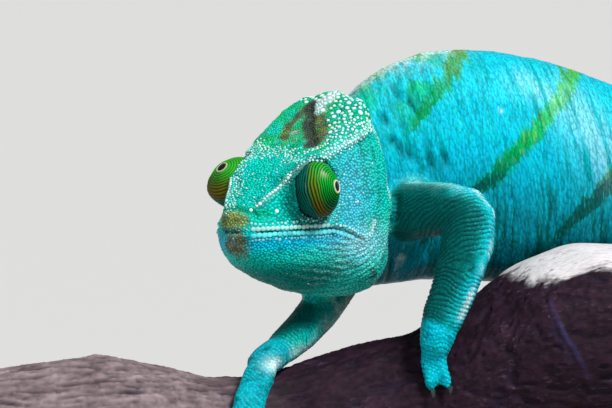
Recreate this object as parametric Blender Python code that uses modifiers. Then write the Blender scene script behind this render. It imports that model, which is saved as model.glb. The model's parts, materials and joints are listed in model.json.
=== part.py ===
"""Parson's chameleon, life size, gripping a cut length of branch on a plain display stand.

The animal faces -X with its left side to -Y, and +Z is up. Sizes in this file are millimetres,
and MM turns them into Blender's metres. Heights are measured from the level of the eyes, except
on the stand, so the empty called stance lifts everything to where it really is.
"""

import math

import bmesh
import bpy
import numpy as np
from mathutils import Vector

MM = 0.001
GAP = 0.3  # clearance between neighbouring solids

# Stand: the origin is the centre of the base's underside
BASE_SIZE = (224.0, 116.0, 14.0)
BASE_CORNER = 4.0
ROD_RADIUS = 4.0
ROD_PLACES = (8.0, 128.0)
STANCE = (-52.0, 14.0, 154.0)  # where the point midway along the body's line, at eye level, stands

# Head: its frame has its origin midway between the pupils, +X backwards, -Y left
HEAD_PLACE = (0.0, -22.0, 0.0)
HEAD_YAW = math.radians(33.0)
SNOUT, OCCIPUT = -22.5, 31.0
SNOUT_ROUND, OCCIPUT_ROUND = 7.0, 5.5
MOUTH_LEVEL = -12.0
EYE_PLACE = (-2.6, 13.4, -1.8)  # back, out and up from the head's origin
LID_HOLE, LID_REAR = math.radians(12), math.radians(156)  # where the lid starts and ends
BALL_RADIUS = 5.6
SOCKET_GAP = 0.4
RIM_RADIUS, RIM_DEPTH = 8.7, 3.0  # the raised ring of skin that each turret turns in
LEFT_GAZE = (0.22, -0.96, 0.19)
RIGHT_GAZE = (-0.68, 0.15, 0.72)

# Tail: it runs back, then curls down and under in a spiral
TAIL_LENGTH = 236.0
TAIL_START = (168.0, 0.0, -6.0)
TAIL_HEADING, TAIL_SIDEWAYS = math.radians(-10), 4.0
TAIL_BEND = (0.006, 0.040, 0.120)  # radians a millimetre: steady, then growing, then at the tip
TAIL_CUTS = (0.0, 0.28, 0.5, 0.68, 0.82, 0.92, 1.0)  # shares of its length

HEAD_SIDES, HEAD_STEPS = 24, 15
BODY_SIDES, NECK_STEPS, TRUNK_STEPS = 20, 5, 12
LIMB_SIDES, LIMB_STEPS = 10, 6
TAIL_SIDES, TAIL_STEPS = 8, 7
TOE_SIDES, TOE_STEPS = 6, 5
CLAW_SIDES, CLAW_STEPS = 5, 3
LID_TURNS, LID_STEPS, BALL_RINGS = 12, 8, 6
PERCH_SIDES, PERCH_STEPS = 16, 19
END_INSET = 0.02  # how far inside a rounded end its last section lies, in radii

FLESH = (0.02, 0.55, 0.55)
STRIPE_FLESH = (0.03, 0.45, 0.42)
LID_GREEN = (0.10, 0.42, 0.08)
PUPIL = (0.01, 0.01, 0.01)
HORN = (0.20, 0.26, 0.20)
BARK = (0.13, 0.09, 0.09)
OAK = (0.30, 0.19, 0.11)
STEEL = (0.55, 0.55, 0.57)


WHOLE = {}  # each part's shape before its cuts, by name


def curve(*pairs):
    """A smooth function through (place, value) pairs, held level past its ends."""
    places, values = np.array(pairs, float).T
    slopes = np.gradient(values, places)

    def at(x):
        x = min(max(x, places[0]), places[-1])
        i = min(int(np.searchsorted(places, x, side="right")) - 1, len(places) - 2)
        width = places[i + 1] - places[i]
        t = (x - places[i]) / width
        return float(
            (2 * t**3 - 3 * t**2 + 1) * values[i]
            + (t**3 - 2 * t**2 + t) * width * slopes[i]
            + (3 * t**2 - 2 * t**3) * values[i + 1]
            + (t**3 - t**2) * width * slopes[i + 1]
        )

    return at


def along(points, count):
    """count points at even steps on a smooth line through a few points, and their distances."""
    points = np.array(points, float)
    knots = np.concatenate([[0], np.cumsum(np.linalg.norm(np.diff(points, axis=0), axis=1))])
    axes = [curve(*zip(knots, points[:, k])) for k in range(3)]
    fine = np.array([[axis(t) for axis in axes] for t in np.linspace(0, knots[-1], 160)])
    run = np.concatenate([[0], np.cumsum(np.linalg.norm(np.diff(fine, axis=0), axis=1))])
    at = np.linspace(0, run[-1], count)
    return np.stack([np.interp(at, run, fine[:, k]) for k in range(3)], axis=1), at


def collection(name):
    """A collection of the scene, made when it is first asked for."""
    found = bpy.data.collections.get(name)
    if found is None:
        found = bpy.data.collections.new(name)
        bpy.context.scene.collection.children.link(found)
    return found


def material(name, colour, roughness=0.5, metallic=0.0):
    """A Principled material, made once for each name."""
    made = bpy.data.materials.get(name)
    if made is None:
        made = bpy.data.materials.new(name)
        made.use_nodes = True
        surface = made.node_tree.nodes["Principled BSDF"]
        surface.inputs["Base Color"].default_value = (*colour, 1.0)
        surface.inputs["Roughness"].default_value = roughness
        surface.inputs["Metallic"].default_value = metallic
    return made


def add(name, bm, look, parent, smooth=True):
    """Makes a bmesh, in millimetres, into a named part under an empty."""
    bmesh.ops.recalc_face_normals(bm, faces=bm.faces)
    bmesh.ops.scale(bm, vec=(MM, MM, MM), verts=bm.verts)
    mesh = bpy.data.meshes.new(name)
    bm.to_mesh(mesh)
    bm.free()
    mesh.materials.append(look)
    if smooth:
        mesh.shade_smooth()
    obj = bpy.data.objects.new(name, mesh)
    collection("chameleon").objects.link(obj)
    obj.parent = parent
    return obj


def empty(name, place, parent=None, turn=None):
    """An empty that carries parts, placed in millimetres."""
    obj = bpy.data.objects.new(name, None)
    bpy.context.scene.collection.objects.link(obj)
    obj.parent = parent
    obj.location = Vector(place) * MM
    if turn is not None:
        obj.rotation_euler = turn
    return obj


def loft(rings):
    """A closed body through rings of points that all have the same count."""
    bm = bmesh.new()
    made = [[bm.verts.new(point) for point in ring] for ring in rings]
    for near, far in zip(made, made[1:]):
        for i in range(len(near)):
            j = (i + 1) % len(near)
            bm.faces.new((near[i], near[j], far[j], far[i]))
    bm.faces.new(made[0][::-1])
    bm.faces.new(made[-1])
    return bm


def rounding(distance, length):
    """From 0 at an end to 1 a given length from it, as the outline of an ellipse."""
    t = min(max(distance / length, 0.0), 1.0)
    return math.sqrt(max(1 - (1 - t) ** 2, 0.0))


def stations(start, end, count, bunch=0.5):
    """Places from start to end that crowd together near both ends."""
    t = np.linspace(0, 1, count)
    eased = (1 - np.cos(math.pi * t)) / 2
    return start + (end - start) * ((1 - bunch) * t + bunch * eased)


def tube(points, radii, sides, up, steps, ends=(1.0, 1.0), spin=0.0):
    """A limb-like body: round sections on a smooth line, with rounded or flat ends.

    radii are spread evenly along the line, each of ends says how far past its point that end
    is rounded, in radii, or 0 for a flat end, and spin turns the sections about the line."""
    near, far = ends[0] * radii[0], ends[1] * radii[-1]
    points = [Vector(point) for point in points]
    points[0] = points[0] - (points[1] - points[0]).normalized() * near
    points[-1] = points[-1] + (points[-1] - points[-2]).normalized() * far
    fine, run = along(points, 200)
    total = run[-1]
    radius = curve(*zip(np.linspace(near, total - far, len(radii)), radii))
    tangents = np.gradient(fine, run, axis=0)
    rings = []
    for s in stations(END_INSET * near, total - END_INSET * far, steps, 0.75):
        centre = np.array([np.interp(s, run, fine[:, k]) for k in range(3)])
        tangent = Vector([np.interp(s, run, tangents[:, k]) for k in range(3)]).normalized()
        side = tangent.cross(Vector(up)).normalized()
        top = side.cross(tangent)
        size = radius(s)
        if near:
            size *= rounding(s, near)
        if far:
            size *= rounding(total - s, far)
        rings.append(
            [
                Vector(centre)
                + side * (size * math.cos(a))
                + top * (size * math.sin(a))
                for a in (spin + 2 * math.pi * i / sides for i in range(sides))
            ]
        )
    return loft(rings)


def freeze(obj):
    """Applies an object's modifiers and drops the crumbs that a cut leaves."""
    bpy.context.view_layer.update()
    graph = bpy.context.evaluated_depsgraph_get()
    mesh = bpy.data.meshes.new_from_object(obj.evaluated_get(graph))
    obj.modifiers.clear()
    bm = bmesh.new()
    bm.from_mesh(mesh)
    bm.verts.ensure_lookup_table()
    left, islands = set(bm.verts), []
    while left:
        island, edge = set(), [next(iter(left))]
        while edge:
            vert = edge.pop()
            if vert not in island:
                island.add(vert)
                edge += [e.other_vert(vert) for e in vert.link_edges]
        islands.append(island)
        left -= island
    keep = max(islands, key=len)
    bmesh.ops.delete(bm, geom=[v for v in bm.verts if v not in keep], context="VERTS")
    bm.to_mesh(mesh)
    bm.free()
    mesh.name = obj.name
    obj.data = mesh


def keep_whole(obj):
    """Remembers a part's shape from before its cuts, which is what cuts its neighbours."""
    WHOLE[obj.name] = obj.data.copy()
    return obj


def helper(obj, grow=0.0):
    """A copy of a part's whole shape for a Boolean, made larger all round."""
    cutter = obj.copy()
    cutter.data = WHOLE.get(obj.name, obj.data).copy()
    cutter.name = obj.name + "_cutter"
    collection("cutters").objects.link(cutter)
    cutter.hide_render = True
    cutter.display_type = "WIRE"
    if grow:
        swell = cutter.modifiers.new("grow", "DISPLACE")
        swell.strength = grow * MM
        swell.mid_level = 0.0
    return cutter


def combine(obj, operation, *others, grow=0.0):
    """Joins, cuts or keeps the common part of obj with copies of others."""
    helpers = [helper(other, grow) for other in others]
    for other in helpers:
        boolean = obj.modifiers.new(other.name, "BOOLEAN")
        boolean.operation = operation
        boolean.object = other
        boolean.solver = "EXACT"
    freeze(obj)
    for other in helpers:
        bpy.data.objects.remove(other)


def carve(obj, *neighbours):
    """Cuts the neighbours out of obj, so that they meet with the gap between them."""
    combine(obj, "DIFFERENCE", *neighbours, grow=GAP)


def drop(*objs):
    for obj in objs:
        bpy.data.objects.remove(obj)


# ---------------------------------------------------------------- head

# Half-widths and heights of the head's outlines, by distance back from the pupils' midpoint.
CROWN = curve(
    (-22.5, -6.5), (-17, -4.4), (-8, 1.8), (0, 7.2), (8, 11.8), (13, 15.9), (18, 20.5), (23, 23.2),
    (27.5, 23.6), (31, 21.5),
)
CREST_HEIGHT = curve(
    (-22.5, -7), (-17, -4.8), (-8, 1.8), (1, 7.4), (10.5, 11.8), (16.5, 15.2), (20.5, 18.0),
    (25, 20.6), (31, 19),
)
CREST_WIDTH = curve(
    (-22.5, 3.5), (-17, 5.8), (-8, 10.2), (1, 13.4), (10.5, 15.0), (16.5, 14.8), (20.5, 13.6),
    (25, 10.8), (31, 8.5),
)
ORBIT_WIDTH = curve(
    (-22.5, 4.5), (-17, 7.0), (-10, 10.2), (-4, 12.2), (2, 13.4), (10, 15.6), (20, 17.4), (31, 16.6)
)
LIP_WIDTH = curve(
    (-22.5, 6.0), (-18, 8.2), (-10, 11.6), (0, 14.4), (8, 16.4), (16, 18.0), (24, 18.6), (31, 17.2)
)
LIP_HEIGHT = curve((-22.5, -12), (0, -12), (6, -12.4), (12, -15.5), (20, -17), (31, -17))
JAW_WIDTH = curve(
    (-22.5, 5.2), (-18, 7.6), (-10, 11.0), (0, 13.8), (10, 16.6), (20, 18.2), (31, 17.0)
)
CHIN = curve(
    (-22.5, -19), (-18, -21.8), (-9, -26.4), (0, -29.8), (10, -32.6), (18, -34.2), (31, -35.0)
)
# The turret's radius by degrees from the gaze: a dome with a low top and round shoulders.
LID_RADIUS = curve(
    (0, 7.45), (12, 7.26), (28, 7.16), (45, 7.31), (57, 7.71), (67, 7.9), (78, 7.6), (92, 7.2), (180, 7.1)
)


def head_ring(x):
    """The head's section, from the crown round the left side to the chin and back."""
    crown, chin = CROWN(x), CHIN(x)
    crest, lip = CREST_HEIGHT(x), LIP_HEIGHT(x)
    orbit = (crest + lip) / 2
    jaw = lip + 0.48 * (chin - lip)
    half = [
        (0.0, crown),
        (0.5 * CREST_WIDTH(x), (crown + crest) / 2 - 0.3),
        (CREST_WIDTH(x), crest),
        (ORBIT_WIDTH(x), orbit),
        (LIP_WIDTH(x), lip),
        (JAW_WIDTH(x), jaw),
        (0.62 * JAW_WIDTH(x), chin + 0.12 * (lip - chin)),
        (0.0, chin),
    ]
    widths = curve(*((i, w) for i, (w, _) in enumerate(half)))
    heights = curve(*((i, h) for i, (_, h) in enumerate(half)))
    shrink = min(rounding(x - SNOUT, SNOUT_ROUND), rounding(OCCIPUT - x, OCCIPUT_ROUND))
    middle = MOUTH_LEVEL if x < 0 else -6.0
    count = HEAD_SIDES // 2
    places = [(len(half) - 1) * i / count for i in range(count + 1)]
    left = [(-widths(p) * shrink, middle + (heights(p) - middle) * shrink) for p in places]
    right = [(-y, z) for y, z in left[-2:0:-1]]
    return [(x, y, z) for y, z in left + right]


def jaw_region(grow):
    """A slab that holds the lower jaw: under the mouth line and before the jaw's hinge."""
    line = [
        (SNOUT - 5, MOUTH_LEVEL - 0.2 + grow),
        (4.0, MOUTH_LEVEL - 0.4 + grow),
        (11.5 + grow, -15.8 + grow),
        (15.0 + grow, -24.0),
        (13.0 + grow, -50.0),
        (SNOUT - 5, -50.0),
    ]
    return loft([[(x, y, z) for x, z in line] for y in (-40.0, 40.0)])


def make_head(stance):
    """The casque and upper jaw, the lower jaw, and the two eyes in their turrets."""
    skin = material("skin", FLESH, 0.45)
    pose = empty("head_pose", HEAD_PLACE, stance, (0.0, 0.0, HEAD_YAW))
    rings = [head_ring(x) for x in stations(SNOUT + 0.12, OCCIPUT - 0.12, HEAD_STEPS, 0.6)]
    head = add("head", loft(rings), skin, pose)
    jaw = add("lower_jaw", loft(rings), skin, pose)
    parts = {"head": head, "lower_jaw": jaw}
    keep_whole(head)
    for side, sign, gaze in (("left", -1, LEFT_GAZE), ("right", 1, RIGHT_GAZE)):
        back, out, height = EYE_PLACE
        place = (back, sign * out, height)
        turn = Vector(gaze).to_track_quat("Z", "Y").to_euler()
        look = empty("gaze_" + side, place, pose, turn)
        rim_seat = empty("rim_" + side, (back, sign * (out - RIM_DEPTH), height), pose)
        rim = make_ball("rim", RIM_RADIUS, skin, rim_seat)
        hollow = lid_shape(np.linspace(math.pi, 0, LID_STEPS + 4), SOCKET_GAP)
        socket = lathe("socket", hollow, False, skin, look)
        combine(head, "UNION", rim)
        combine(head, "DIFFERENCE", socket)
        drop(rim, socket)
        parts["eyelid_" + side] = make_lid("eyelid_" + side, look)
        ball = make_ball("eyeball_" + side, BALL_RADIUS, material("eye", PUPIL, 0.1), look)
        parts["eyeball_" + side] = ball
    above = add("jaw_cut", jaw_region(GAP), skin, pose)
    below = add("jaw_keep", jaw_region(0.0), skin, pose)
    combine(head, "DIFFERENCE", above)
    combine(jaw, "INTERSECT", below)
    drop(above, below)
    return parts


def make_ball(name, radius, look, parent):
    bm = bmesh.new()
    bmesh.ops.create_uvsphere(bm, u_segments=LID_TURNS, v_segments=BALL_RINGS, radius=radius)
    return add(name, bm, look, parent)


def lid_shape(angles, grow=0.0):
    """The turret's outline in the XZ plane, by angle from the gaze, which is +Z."""
    radii = [LID_RADIUS(math.degrees(a)) + grow for a in angles]
    return [(r * math.sin(a), 0.0, r * math.cos(a)) for r, a in zip(radii, angles)]


def lathe(name, outline, closed, look, parent):
    """Turns an outline round Z: a loop clear of the axis, or a line from pole to pole."""
    count = len(outline)
    mesh = bpy.data.meshes.new(name)
    edges = [(i, (i + 1) % count) for i in range(count if closed else count - 1)]
    mesh.from_pydata([Vector(point) * MM for point in outline], edges, [])
    mesh.materials.append(look)
    obj = bpy.data.objects.new(name, mesh)
    collection("chameleon").objects.link(obj)
    obj.parent = parent
    turn = obj.modifiers.new("turn", "SCREW")
    turn.steps = LID_TURNS
    turn.render_steps = LID_TURNS
    turn.use_merge_vertices = True
    turn.merge_threshold = 0.00001
    turn.use_normal_calculate = True
    turn.use_smooth_shade = True
    return obj


def make_lid(name, parent):
    """The fused lids: a turned shell round the eyeball, with a small pupil hole in front."""
    inner = BALL_RADIUS + 2 * GAP
    outline = lid_shape(np.linspace(LID_REAR, LID_HOLE, LID_STEPS))
    angles = np.linspace(LID_HOLE, LID_REAR, LID_STEPS - 3)
    outline += [(inner * math.sin(a), 0.0, inner * math.cos(a)) for a in angles]
    return lathe(name, outline, True, material("lid", LID_GREEN, 0.4), parent)


# ---------------------------------------------------------------- neck and trunk

# The body's line in plan, and its outlines by distance behind the pupils.
BODY_LINE = curve(
    (14, -12.9), (20, -9.0), (26, -5.6), (33, -2.6), (42, -0.6), (56, 0.2), (72, 0.0), (168, 0.0)
)
BACK = curve(
    (14, 15.0), (22, 18.3), (28, 21.6), (33, 26.0), (40, 30.0), (51, 33.4), (66, 33.7), (87, 30.5),
    (110, 22.8), (130, 14.6), (150, 6.0), (168, 0.4),
)
BELLY = curve(
    (14, -26), (26, -32), (40, -33.4), (52, -32.4), (70, -34), (90, -34.5), (110, -30), (130, -23),
    (150, -17.5), (168, -12.6),
)
BODY_WIDTH = curve(
    (14, 12.5), (24, 15), (34, 15.2), (46, 16.2), (66, 18.6), (90, 19.2), (110, 17.6), (130, 14.6),
    (150, 11.2), (168, 6.8),
)
NECK_START, NECK_END = 15.0, 38.0


def body_ring(x):
    """A narrow-backed section of the body, in the plane across the body's line."""
    slope = (BODY_LINE(x + 0.5) - BODY_LINE(x - 0.5)) / 1.0
    across = Vector((-slope, 1.0, 0.0)).normalized()
    centre = Vector((x, BODY_LINE(x), (BACK(x) + BELLY(x)) / 2))
    height, width = (BACK(x) - BELLY(x)) / 2, BODY_WIDTH(x)
    ring = []
    for i in range(BODY_SIDES):
        a = 2 * math.pi * i / BODY_SIDES
        out = width * math.sin(a) * (1 - 0.2 * math.cos(a))
        ring.append(centre + across * out + Vector((0, 0, height * math.cos(a))))
    return ring


def make_body(stance):
    """The neck and the trunk, two lengths of one body with a gap between them."""
    skin = material("skin", FLESH, 0.45)
    stripes = material("flank", STRIPE_FLESH, 0.45)
    neck_at = np.linspace(NECK_START, NECK_END, NECK_STEPS)
    trunk_at = np.linspace(NECK_END + GAP, TAIL_START[0], TRUNK_STEPS)
    neck = add("neck", loft([body_ring(x) for x in neck_at]), skin, stance)
    trunk = add("trunk", loft([body_ring(x) for x in trunk_at]), stripes, stance)
    return {"neck": keep_whole(neck), "trunk": keep_whole(trunk)}


# ---------------------------------------------------------------- tail


def tail_line(count=400):
    """Points down the tail, whose bend grows steadily tighter towards the tip."""
    s = np.linspace(0, TAIL_LENGTH, count)
    share = s / TAIL_LENGTH
    bend = TAIL_BEND[0] + TAIL_BEND[1] * share**1.5 + TAIL_BEND[2] * share**5
    step = np.diff(s)
    heading = TAIL_HEADING - np.concatenate([[0], np.cumsum(bend[1:] * step)])
    x = TAIL_START[0] + np.concatenate([[0], np.cumsum(np.cos(heading[1:]) * step)])
    y = TAIL_START[1] - TAIL_SIDEWAYS * share**2
    z = TAIL_START[2] + np.concatenate([[0], np.cumsum(np.sin(heading[1:]) * step)])
    return s, np.stack([x, y, z], axis=1)


def make_tail(stance):
    """Lengths of tail with flat ends that face each other across the gap."""
    skin = material("skin", FLESH, 0.45)
    s, line = tail_line()
    cuts = [TAIL_LENGTH * share for share in TAIL_CUTS]
    height = curve((0, 6.7), (40, 5.6), (120, 3.9), (200, 2.6), (TAIL_LENGTH, 1.5))
    parts = {}
    for i in range(len(cuts) - 1):
        start, end = cuts[i] + (GAP if i else 0.0), cuts[i + 1]
        rings = []
        for at in np.linspace(start, end, TAIL_STEPS):
            centre = Vector([np.interp(at, s, line[:, k]) for k in range(3)])
            ahead = Vector([np.interp(at + 1, s, line[:, k]) for k in range(3)])
            behind = Vector([np.interp(at - 1, s, line[:, k]) for k in range(3)])
            tangent = (ahead - behind).normalized()
            side = Vector((0, 1, 0))
            top = side.cross(tangent).normalized()
            size = height(at) * rounding(TAIL_LENGTH + 0.05 - at, 3.0)
            rings.append(
                [
                    centre + side * (size * 0.94 * math.sin(a)) - top * (size * math.cos(a))
                    for a in (2 * math.pi * k / TAIL_SIDES for k in range(TAIL_SIDES))
                ]
            )
        name = f"tail_{i + 1}"
        parts[name] = add(name, loft(rings), skin, stance)
    return parts


# ---------------------------------------------------------------- legs

# Each leg: the line of its upper and lower lengths, its foot, and its two bundles of toes.
# A bundle is where it leaves the foot, then (place along the branch, degrees round it, height
# off its bark), the number of toes, and the pitch between them.
LEGS = {
    "arm_left": {
        "upper": [(38, -9, -12.5), (43, -26, -9), (48.3, -41, -9)],
        "upper_radii": (8.6, 8.2, 7.0),
        "lower": [(48.3, -41, -9), (46.5, -41.5, -21), (42.5, -41.5, -31.5), (39.6, -41.5, -38)],
        "lower_radii": (7.0, 7.6, 6.6, 5.9),
        "foot": [(39.6, -41.5, -37.5), (37.6, -42.8, -43.6)],
        "foot_radii": (5.8, 5.1),
        "outer": [(37.8, -43, -42.5), (36.8, 40, 2.8), (37.6, 26, 2.3)],
        "outer_toes": (2, 3.3),
        "inner": [(40.0, -38.5, -40.5), (46.5, 84, 3.0), (50.0, 112, 2.4), (51.5, 136, 2.3)],
        "inner_toes": (3, 3.1),
    },
    "arm_right": {
        "upper": [(40, 11, -14), (34, 13, -26), (24.5, 5, -36.5)],
        "upper_radii": (8.0, 7.4, 6.2),
        "lower": [(24.5, 5, -36.5), (12, -10, -42.5), (0, -21.5, -47)],
        "lower_radii": (6.2, 5.8, 4.8),
        "foot": [(0.3, -21.3, -47), (-6.2, -24.5, -49.8)],
        "foot_radii": (4.8, 4.6),
        "inner": [(-5.5, -25, -50), (-12.0, 52, 2.6), (-15.5, 30, 2.4), (-17.0, 10, 2.3)],
        "inner_toes": (3, 2.7),
        "outer": [(-2.5, -19, -50), (0.0, 108, 2.8), (1.0, 130, 2.4), (1.5, 148, 2.3)],
        "outer_toes": (2, 3.2),
    },
    "leg_left": {
        "upper": [(146, -7, -7), (134, -22, -4), (121, -33, -7)],
        "upper_radii": (9.0, 8.6, 6.8),
        "lower": [(121, -33, -7), (126, -33, -20), (134, -28, -31)],
        "lower_radii": (6.8, 6.6, 5.0),
        "foot": [(133.5, -28.5, -30.5), (136.5, -25.5, -36)],
        "foot_radii": (5.0, 4.6),
        "outer": [(136.5, -27, -36), (137.5, 30, 3.0), (137, 10, 2.4), (136, -7, 2.3)],
        "outer_toes": (3, 3.1),
        "inner": [(137.5, -22, -34), (138.5, 84, 3.4), (139, 112, 2.4), (139, 136, 2.3)],
        "inner_toes": (2, 3.3),
    },
    "leg_right": {
        "upper": [(146, 7, -7), (136, 22, -6), (125, 31, -10)],
        "upper_radii": (9.0, 8.6, 6.8),
        "lower": [(125, 31, -10), (136, 31, -22), (149, 24, -34)],
        "lower_radii": (6.8, 6.6, 5.0),
        "foot": [(148.5, 24.5, -33.5), (153, 21, -39)],
        "foot_radii": (5.0, 4.6),
        "outer": [(153, 22, -39), (155, 150, 3.0), (155, 170, 2.4), (154, 187, 2.3)],
        "outer_toes": (3, 3.1),
        "inner": [(154, 17, -37.5), (155.5, 96, 3.4), (157, 68, 2.4), (157.5, 44, 2.3)],
        "inner_toes": (2, 3.3),
    },
}
TOE_RADII = (2.7, 2.5, 2.2, 1.7)
TOE_SIZES = (0.96, 1.0, 0.92)  # of the toes in a bundle, side by side
TOE_FAN = 1.3
TOE_SPIN = 0.27  # turns each toe's sides from the last one's, so that no two faces coincide
CLAW_RADII = (0.9, 0.7, 0.3)
CLAW_ARC = ((4.6, 0.3), (8.0, -0.4))  # degrees on from the toe, and height off its last place
FOOT_WORDS = {"arm": ("upper_arm", "forearm", "hand"), "leg": ("thigh", "shin", "foot")}


def toe_line(start, places, offset):
    """One toe's line: from the foot on to the branch, moved sideways from its bundle's middle."""
    last = len(places)
    line = [Vector(start) + Vector((offset, 0, 0))]
    for i, (x, degrees, lift) in enumerate(places, 1):
        spread = offset * (1 + (TOE_FAN - 1) * (i / last) ** 2)
        line.append(on_perch(x + spread, degrees, lift))
    return line


def make_bundle(name, start, places, toes, pitch, skin, parent):
    """Toes that are joined side by side, and their claws."""
    made, claws = [], {}
    horn = material("horn", HORN, 0.35)
    x, degrees, lift = places[-1]
    onward = math.copysign(1, degrees - places[-2][1])
    for i in range(toes):
        offset = pitch * (i - (toes - 1) / 2)
        line = toe_line(start, places, offset)
        radii = [radius * TOE_SIZES[i] for radius in TOE_RADII]
        bm = tube(line, radii, TOE_SIDES, (1, 0, 0), TOE_STEPS, spin=TOE_SPIN * i)
        made.append(add(f"{name}_{i}", bm, skin, parent))
        tip = x + offset * TOE_FAN
        line = [line[-1]] + [on_perch(tip, degrees + onward * a, lift + h) for a, h in CLAW_ARC]
        claw = f"{name[:-4]}claw_{i + 1}"
        bm = tube(line, CLAW_RADII, CLAW_SIDES, (1, 0, 0), CLAW_STEPS, (0.0, 0.6))
        claws[claw] = add(claw, bm, horn, parent)
    bundle = made[0]
    combine(bundle, "UNION", *made[1:])
    drop(*made[1:])
    bundle.name = name
    return keep_whole(bundle), claws


def make_leg(kind, side, plan, parts, parent):
    """One leg, from its root in the trunk to its claws, each piece cut back from the last."""
    skin = material("skin", FLESH, 0.45)
    names = [f"{word}_{side}" for word in FOOT_WORDS[kind]]
    body = [parts["trunk"], parts["neck"], parts["head"]]
    perch = parts["perch"]
    pieces = []
    for name, length in zip(names, ("upper", "lower", "foot")):
        up = (0, 0, 1) if length == "upper" else (1, 0, 0.3)
        bm = tube(plan[length], plan[length + "_radii"], LIMB_SIDES, up, LIMB_STEPS)
        piece = keep_whole(add(name, bm, skin, parent))
        carve(piece, *body, perch, *pieces)
        parts[name] = piece
        pieces.append(piece)
    for way in ("outer", "inner"):
        name = f"{names[2]}_{way}_toes"
        start, *places = plan[way]
        bundle, claws = make_bundle(name, start, places, *plan[way + "_toes"], skin, parent)
        carve(bundle, *pieces, parts["trunk"], perch)
        for claw in claws.values():
            carve(claw, bundle, perch)
        parts[name] = bundle
        parts.update(claws)
        pieces.append(bundle)


# ---------------------------------------------------------------- perch and stand

# The branch: its middle and its radius, by the same distances as the body.
PERCH_ENDS = (-92.0, 172.0)
PERCH_SIDEWAYS = curve(
    (-92, -20), (-38, -19.5), (-8, -18.5), (14, -20), (30, -22), (42, -25), (60, -31), (78, -36),
    (90, -36.5), (108, -29), (138, -8), (172, 1),
)
PERCH_HEIGHT = curve(
    (-92, -67.8), (-68, -66.9), (-50, -65.8), (-38, -68.4), (-25, -72.8), (-8, -75), (14, -71.2),
    (30, -68), (42, -65.6), (52, -60.3), (60, -52.5), (68, -48.4), (78, -44.9), (90, -44.2),
    (108, -47.4), (138, -55.5), (172, -60),
)
PERCH_RADIUS = curve(
    (-92, 20.5), (-38, 20.3), (-8, 21), (14, 22), (42, 23), (60, 25), (90, 26.2), (138, 23.5),
    (172, 22.4),
)


def perch_wobble(share, angle):
    """The branch's slow swellings and flutes, as a factor on its radius."""
    return (
        1
        + 0.030 * math.sin(3 * angle + 9 * share)
        + 0.022 * math.sin(5 * angle - 14 * share + 1.0)
        + 0.020 * math.sin(2 * angle + 23 * share)
    )


def on_perch(x, degrees, lift=0.0):
    """A point on the branch: 0 degrees is the near side, 90 the top, 180 the far side."""
    angle = math.radians(degrees)
    start, end = PERCH_ENDS
    out = PERCH_RADIUS(x) * perch_wobble((x - start) / (end - start), angle) + lift
    sideways, up = -out * math.cos(angle), out * math.sin(angle)
    return Vector((x, PERCH_SIDEWAYS(x) + sideways, PERCH_HEIGHT(x) + up))


def make_perch(stance):
    """The cut length of branch, with flat sawn ends."""
    turns = [360.0 * k / PERCH_SIDES for k in range(PERCH_SIDES)]
    rings = [[on_perch(x, a) for a in turns] for x in np.linspace(*PERCH_ENDS, PERCH_STEPS)]
    return keep_whole(add("perch", loft(rings), material("bark", BARK, 0.8), stance))


def make_stand(perch, origin):
    """The base, and the two rods that go up to the branch."""
    long, wide, thick = BASE_SIZE
    bm = bmesh.new()
    bmesh.ops.create_cube(bm, size=1.0)
    bmesh.ops.scale(bm, vec=BASE_SIZE, verts=bm.verts)
    bmesh.ops.translate(bm, vec=(0, 0, thick / 2), verts=bm.verts)
    base = add("stand_base", bm, material("oak", OAK, 0.5), origin, smooth=False)
    soften = base.modifiers.new("soften", "BEVEL")
    soften.width = BASE_CORNER * MM
    soften.segments = 2
    soften.limit_method = "ANGLE"
    freeze(base)
    parts = {"stand_base": base}
    for word, place in zip(("front", "rear"), ROD_PLACES):
        x, y, z = Vector((place, PERCH_SIDEWAYS(place), PERCH_HEIGHT(place))) + Vector(STANCE)
        bottom = thick + GAP
        bm = bmesh.new()
        bmesh.ops.create_cone(
            bm, cap_ends=True, segments=14, radius1=ROD_RADIUS, radius2=ROD_RADIUS, depth=z - bottom
        )
        bmesh.ops.translate(bm, vec=(x, y, (z + bottom) / 2), verts=bm.verts)
        rod = add("stand_rod_" + word, bm, material("steel", STEEL, 0.3, 1.0), origin)
        carve(rod, perch)
        parts["stand_rod_" + word] = rod
    return parts


def main():
    for obj in list(bpy.data.objects):
        bpy.data.objects.remove(obj)
    origin = empty("origin", (0, 0, 0))
    stance = empty("stance", STANCE, origin)
    parts = {"perch": make_perch(stance)}
    parts.update(make_head(stance))
    parts.update(make_body(stance))
    parts.update(make_tail(stance))
    carve(parts["trunk"], parts["perch"])
    carve(parts["neck"], parts["head"])
    carve(parts["tail_1"], parts["trunk"])
    for name, plan in LEGS.items():
        make_leg(*name.split("_"), plan, parts, stance)
    parts.update(make_stand(parts["perch"], origin))


main()
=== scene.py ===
import json
import math

import bmesh
import bpy
import numpy as np
from mathutils import Matrix, Vector
from mathutils.bvhtree import BVHTree
from mathutils.kdtree import KDTree


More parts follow.
